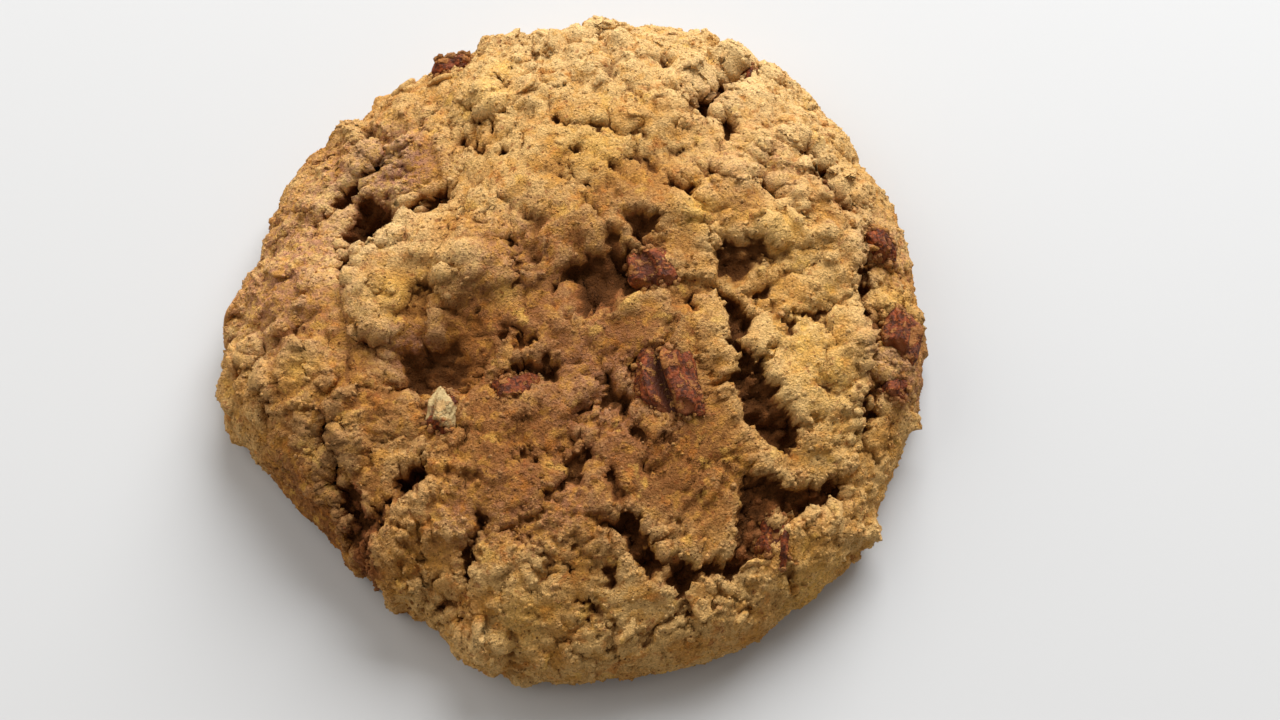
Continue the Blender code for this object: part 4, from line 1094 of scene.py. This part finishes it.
# %% Node helpers
class Tree:
    """A material's node tree, with one short method for each kind of node used here."""

    def __init__(self, name):
        self.material = bpy.data.materials.new(name)
        self.material.use_nodes = True
        self.nodes = self.material.node_tree.nodes
        self.links = self.material.node_tree.links
        self.shader = self.nodes["Principled BSDF"]
        self.place = self.nodes.new("ShaderNodeTexCoord").outputs["Object"]

    def feed(self, socket, value):
        """Links an output to a socket, or sets the socket's own value."""
        if isinstance(value, bpy.types.NodeSocket):
            self.links.new(value, socket)
        else:
            socket.default_value = value

    def add(self, kind, inputs, output, **settings):
        """Adds a node with those settings, feeds its inputs and returns one of its outputs."""
        node = self.nodes.new("ShaderNode" + kind)
        for name, value in settings.items():
            setattr(node, name, value)
        for name, value in inputs.items():
            self.feed(node.inputs[name], value)
        return node.outputs[output]

    def attribute(self, name):
        """The number that a mesh keeps under that name."""
        return self.add("Attribute", {}, "Fac", attribute_name=name)

    def noise(self, size, detail=3.0, roughness=0.55, distortion=0.0):
        """Noise whose features are about that size in metres."""
        return self.add("TexNoise", {"Vector": self.place, "Scale": 1 / size, "Detail": detail,
                                     "Roughness": roughness, "Distortion": distortion}, "Fac")

    def cells(self, size):
        """The distance to the nearest of scattered points that lie about that far apart."""
        return self.add("TexVoronoi", {"Vector": self.place, "Scale": 1 / size}, "Distance")

    def math(self, operation, *values):
        """Arithmetic on two values, or three for MULTIPLY_ADD."""
        return self.add("Math", dict(enumerate(values)), 0, operation=operation)

    def ramp(self, value, low, high):
        """Maps a value from low..high to 0..1, eased, with nothing outside."""
        return self.add("MapRange", {"Value": value, "From Min": low, "From Max": high}, "Result",
                        interpolation_type="SMOOTHSTEP")

    def mix(self, share, first, second, blend="MIX"):
        """Blends two colours by a share. In a Mix node the colours are inputs 6 and 7 and output 2."""
        return self.add("Mix", {0: share, 6: first, 7: second}, 2, data_type="RGBA", blend_type=blend)

    def over(self, colour, paint, share, strength):
        """Lays a paint over a colour, by a share times a strength."""
        return self.mix(self.math("MULTIPLY", share, strength), colour, paint)

    def grey(self, value):
        """A grey colour from a number."""
        return self.add("CombineColor", {0: value, 1: value, 2: value}, 0)

    def bump(self, height, distance, strength=1.0, **under):
        """A bump of that height, over the bump given as Normal if there is one."""
        inputs = {"Strength": strength, "Distance": distance, "Height": height}
        return self.add("Bump", {**inputs, **under}, "Normal")

    def finish(self, colour, roughness, shine, normal):
        """Feeds the shader and returns the material."""
        for name, value in (("Base Color", colour), ("Roughness", roughness), ("Specular IOR Level", shine),
                            ("Normal", normal)):
            self.feed(self.shader.inputs[name], value)
        return self.material


print("node helpers ready")

# %% [markdown]
# ### Crust
#
# The crust's colour is built up in layers: pale tan dough, golden where it toasts, brown in the middle and on
# the near slopes, partly as painted shade, with yellow tips of oat, a pink blush where nut skins have bled,
# and specks of bran. Then light and shade are painted on: paler raised tips as painted highlight, warm orange
# painted shade on the shaded sides of lumps, and dark painted shade in hollows, creases and pinholes. Fine
# bumps give the sugar grain.

# %% Crust material
TAN = (0.65, 0.383, 0.132, 1.0)
GOLD = (0.53, 0.252, 0.060, 1.0)
TOASTED_AND_SHADED = (0.265, 0.098, 0.024, 1.0)
CREAM_AND_HIGHLIGHT = (0.80, 0.535, 0.235, 1.0)
YELLOW = (0.74, 0.410, 0.078, 1.0)
HONEY = (0.56, 0.255, 0.040, 1.0)
ORANGE = (0.50, 0.165, 0.022, 1.0)
RUSSET = (0.30, 0.085, 0.018, 1.0)
PINK = (0.44, 0.20, 0.11, 1.0)
SHADED_SIDE_ORANGE = (0.40, 0.150, 0.028, 1.0)
HOLLOW_SHADE = (0.23, 0.066, 0.017, 1.0)
PAINTED_SHADE_BROWN = (0.110, 0.038, 0.008, 1.0)
BRAN = (0.10, 0.033, 0.010, 1.0)
UNDERSIDE = (0.22, 0.080, 0.018, 1.0)
CRUST_ROUGHNESS = 0.82
CRUST_SHINE = 0.14


def crust_colour(tree, near, far, toast_and_shading, blush, butter, deep):
    """Tan to gold to toasted by zone and noise, partly painted shade, then patches, blush, painted highlight
    on tips, painted shade on shaded sides, in hollows and creases, and specks.
    """
    cloud = tree.noise(6 * MM, 4.0)
    mottle = tree.noise(0.9 * MM, 4.0, 0.65)
    sand = tree.noise(0.34 * MM, 2.0, 0.7)
    # The zone bells push tan to gold and to toasted brown. This is partly toasting and partly painted shade.
    golden_and_shaded = tree.math("MULTIPLY_ADD", toast_and_shading, 0.16, cloud)
    colour = tree.mix(tree.ramp(golden_and_shaded, 0.44, 0.66), TAN, GOLD)
    browned_and_shaded = tree.math("ADD", toast_and_shading, tree.math("MULTIPLY_ADD", mottle, 1.0, -0.5))
    colour = tree.mix(tree.ramp(browned_and_shaded, 0.1, 1.1), colour, TOASTED_AND_SHADED)
    # Paler cream where the bells are negative: partly less toasting, partly painted light on the lit far rim.
    colour = tree.over(colour, CREAM_AND_HIGHLIGHT, tree.ramp(browned_and_shaded, 0.05, -0.85), 0.55)
    yolk = tree.ramp(tree.noise(3.4 * MM, 3.0), 0.60, 0.70)
    colour = tree.over(colour, YELLOW, yolk, 0.6)
    honey = tree.ramp(tree.noise(1.9 * MM, 4.0, 0.6, 0.4), 0.50, 0.62)
    colour = tree.over(colour, HONEY, honey, 0.55)
    patch = tree.ramp(tree.noise(2.3 * MM, 3.0), 0.56, 0.70)
    colour = tree.over(colour, ORANGE, patch, 0.6)
    colour = tree.over(colour, YELLOW, butter, tree.ramp(mottle, 0.32, 0.52))
    russet = tree.ramp(tree.noise(1.3 * MM, 3.0), 0.60, 0.70)
    colour = tree.over(colour, RUSSET, russet, 0.65)
    colour = tree.over(colour, PINK, blush, tree.ramp(mottle, 0.40, 0.62))
    # Raised tips and edges, and grains at random, paler in cream: a painted highlight.
    tip_highlight = tree.math("ADD", near, tree.math("MULTIPLY_ADD", sand, 3.0, -1.5))
    pale = tree.math("MULTIPLY_ADD", toast_and_shading, -0.2, 0.38)
    colour = tree.over(colour, CREAM_AND_HIGHLIGHT, tree.ramp(tip_highlight, 0.3, 2.4), pale)
    # Warm orange where the surface is hollow at the scale of the lumps, on their sides that face away from
    # the light: painted shade.
    side = tree.math("ADD", tree.math("MULTIPLY", near, -0.35), tree.math("MULTIPLY", far, -0.7))
    colour = tree.over(colour, SHADED_SIDE_ORANGE, tree.ramp(side, 0.05, 0.9), 0.5)
    # Darker brown in hollows by their depth: painted shade.
    colour = tree.over(colour, HOLLOW_SHADE, deep, 0.85)
    # Near black-brown in creases and in the bottoms of hollows: painted shade.
    crease = tree.math("ADD", tree.math("MULTIPLY", near, -0.65), tree.math("MULTIPLY", far, -0.35))
    crease = tree.math("ADD", crease, tree.math("MULTIPLY", deep, 1.15))
    colour = tree.over(colour, PAINTED_SHADE_BROWN, tree.ramp(crease, 0.2, 1.7), 0.92)
    speck = tree.ramp(tree.cells(1.15 * MM), 0.18, 0.10)
    colour = tree.over(colour, BRAN, speck, tree.ramp(sand, 0.40, 0.58))
    # Small dark dots for pinholes that the mesh doesn't have: painted shade.
    pinhole = tree.ramp(tree.noise(0.42 * MM, 3.0, 0.6, 0.5), 0.41, 0.31)
    colour = tree.over(colour, PAINTED_SHADE_BROWN, pinhole, 0.65)
    shade = tree.math("MULTIPLY_ADD", sand, 1.3, 0.37)
    return tree.mix(1.0, colour, tree.grey(shade), "MULTIPLY")


def crust_material():
    """The crust's colour on top, a plain brown below, and two bumps."""
    tree = Tree("baked_crust")
    facts = {name: tree.attribute(name) for name in FACTS}
    under = facts.pop("under")
    colour = tree.mix(under, crust_colour(tree, **facts), UNDERSIDE)
    coarse_bump = tree.bump(tree.noise(1.0 * MM, 3.0, 0.6), 0.32 * MM)
    fine_bump = tree.bump(tree.noise(0.33 * MM, 3.0, 0.65), 0.45 * MM, Normal=coarse_bump)
    return tree.finish(colour, CRUST_ROUGHNESS, CRUST_SHINE, fine_bump)


crust_paint = crust_material()
for piece in (crust, flakes, crumbs, grains, nut_crumbs):
    piece.data.materials.append(crust_paint)
print("crust material:", len(crust.data.materials[0].node_tree.nodes), "nodes")

# %% [markdown]
# ### Nuts
#
# Roasted nut skin is thin, red-brown and slightly oily, so it is smoother than the crust and catches small
# highlights on its ridges. Broken faces are matt and cream.

# %% Nut materials
SKIN_RED = (0.24, 0.050, 0.013, 1.0)
SKIN_DARK_AND_GROOVE_SHADE = (0.060, 0.014, 0.004, 1.0)
SKIN_ORANGE = (0.38, 0.095, 0.018, 1.0)
FLESH = (0.60, 0.44, 0.20, 1.0)
SNAPPED = (0.27, 0.085, 0.028, 1.0)
NUT_ROUGHNESS = 0.6
NUT_SHINE = 0.18


def nut_material(name, skin, worn, flesh_everywhere):
    """Nut skin in two tones with dark veins, flesh where it has snapped or, on a pale piece, mostly, and
    painted shade in the grooves.
    """
    tree = Tree(name)
    veins = tree.noise(0.9 * MM, 4.0, 0.6, 0.6)
    colour = tree.mix(tree.ramp(veins, 0.40, 0.66), SKIN_DARK_AND_GROOVE_SHADE, skin)
    colour = tree.over(colour, worn, tree.ramp(tree.noise(0.5 * MM, 3.0), 0.50, 0.68), 0.7)
    flesh = tree.attribute("flesh")
    if flesh_everywhere:
        flesh = tree.ramp(tree.noise(2.4 * MM, 2.0), 0.62, 0.50)
    colour = tree.over(colour, FLESH if flesh_everywhere else SNAPPED, flesh, 0.85)
    # Dark in the grooves of the shell: painted shade.
    colour = tree.mix(tree.ramp(tree.attribute("groove"), 0.15, 0.6), colour, SKIN_DARK_AND_GROOVE_SHADE)
    cling = tree.ramp(tree.noise(1.7 * MM, 4.0, 0.65), 0.51, 0.58)
    colour = tree.over(colour, tree.mix(tree.ramp(veins, 0.35, 0.6), RUSSET, GOLD), cling, 0.45)
    rough = tree.bump(cling, 0.25 * MM, 0.8)
    fine = tree.bump(tree.noise(0.4 * MM, 3.0, 0.6), 0.25 * MM, Normal=rough)
    return tree.finish(colour, NUT_ROUGHNESS, NUT_SHINE, fine)


skin_material = nut_material("roasted_nut_skin", SKIN_RED, SKIN_ORANGE, False)
flesh_material = nut_material("broken_nut_flesh", SKIN_RED, SKIN_ORANGE, True)
for node, piece in nuts.items():
    piece.data.materials.append(flesh_material if node == "nut_pale" else skin_material)
print("nut materials made")

# %% [markdown]
# ## Floor, light and camera
#
# The cookie lies on a plain pale surface. A broad soft light stands behind it and to the right, so the far
# slopes are bright, the near ones dim, and the shadow falls towards the viewer's left. A weaker, warmer one
# at the left stands for light off a wall. The camera looks down from 70 degrees with a normal lens.

# %% Floor
FLOOR_HALF = 1.2
floor_corners = FLOOR_HALF * np.array([(-1, -1, 0), (1, -1, 0), (1, 1, 0), (-1, 1, 0)])
floor = make_object("floor", floor_corners, [(0, 1, 2, 3)])
floor_paint = bpy.data.materials.new("pale_floor")
floor_paint.use_nodes = True
floor_inputs = floor_paint.node_tree.nodes["Principled BSDF"].inputs
floor_inputs["Base Color"].default_value = (0.60, 0.60, 0.60, 1.0)
floor_inputs["Roughness"].default_value = 0.9
floor.data.materials.append(floor_paint)
floor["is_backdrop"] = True
print("floor", 2 * FLOOR_HALF, "m square")

# %% Light
def area_light(name, direction, distance, size, power, colour):
    """A square lamp in a direction from the cookie, turned to face it."""
    lamp = bpy.data.lights.new(name, "AREA")
    lamp.size = size
    lamp.energy = power
    lamp.color = colour
    made = bpy.data.objects.new(name, lamp)
    made.location = Vector(direction).normalized() * distance
    made.rotation_euler = (-made.location).to_track_quat("-Z", "Y").to_euler()
    bpy.context.scene.collection.objects.link(made)
    return made


area_light("window", (0.32, 0.97, 0.72), 0.9, 0.7, 15.0, (0.96, 0.98, 1.0))
area_light("far_wall", (-0.75, 0.35, 0.60), 1.1, 1.0, 5.0, (1.0, 0.97, 0.93))
world = bpy.data.worlds.new("room")
world.use_nodes = True
world.node_tree.nodes["Background"].inputs["Color"].default_value = (1.0, 0.95, 0.89, 1.0)
world.node_tree.nodes["Background"].inputs["Strength"].default_value = 0.30
bpy.context.scene.world = world
bpy.context.scene.view_settings.view_transform = "Standard"
print("two lamps and a dim room")

# %% Camera
CAMERA_ELEVATION = math.radians(70)
CAMERA_DISTANCE = 0.237
CAMERA_AIM = Vector((8.6 * MM, -3.4 * MM, 4.25 * MM))
lens = bpy.data.cameras.new("camera")
lens.lens = 50
lens.sensor_width = 36
lens.clip_start = 0.01
camera = bpy.data.objects.new("camera", lens)
back = Vector((0.0, -math.cos(CAMERA_ELEVATION), math.sin(CAMERA_ELEVATION)))
camera.location = CAMERA_AIM + back * CAMERA_DISTANCE
camera.rotation_euler = (-back).to_track_quat("-Z", "Y").to_euler()
bpy.context.scene.collection.objects.link(camera)
bpy.context.scene.camera = camera
print("camera at", [round(c, 3) for c in camera.location])

# %% [markdown]
# ## Sizes
#
# The dressed cookie has to stay inside the imported model's box, so both boxes are printed.

# %% Print the sizes and finish
low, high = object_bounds()
print("visual size in mm:", [round(side / MM, 2) for side in high - low])
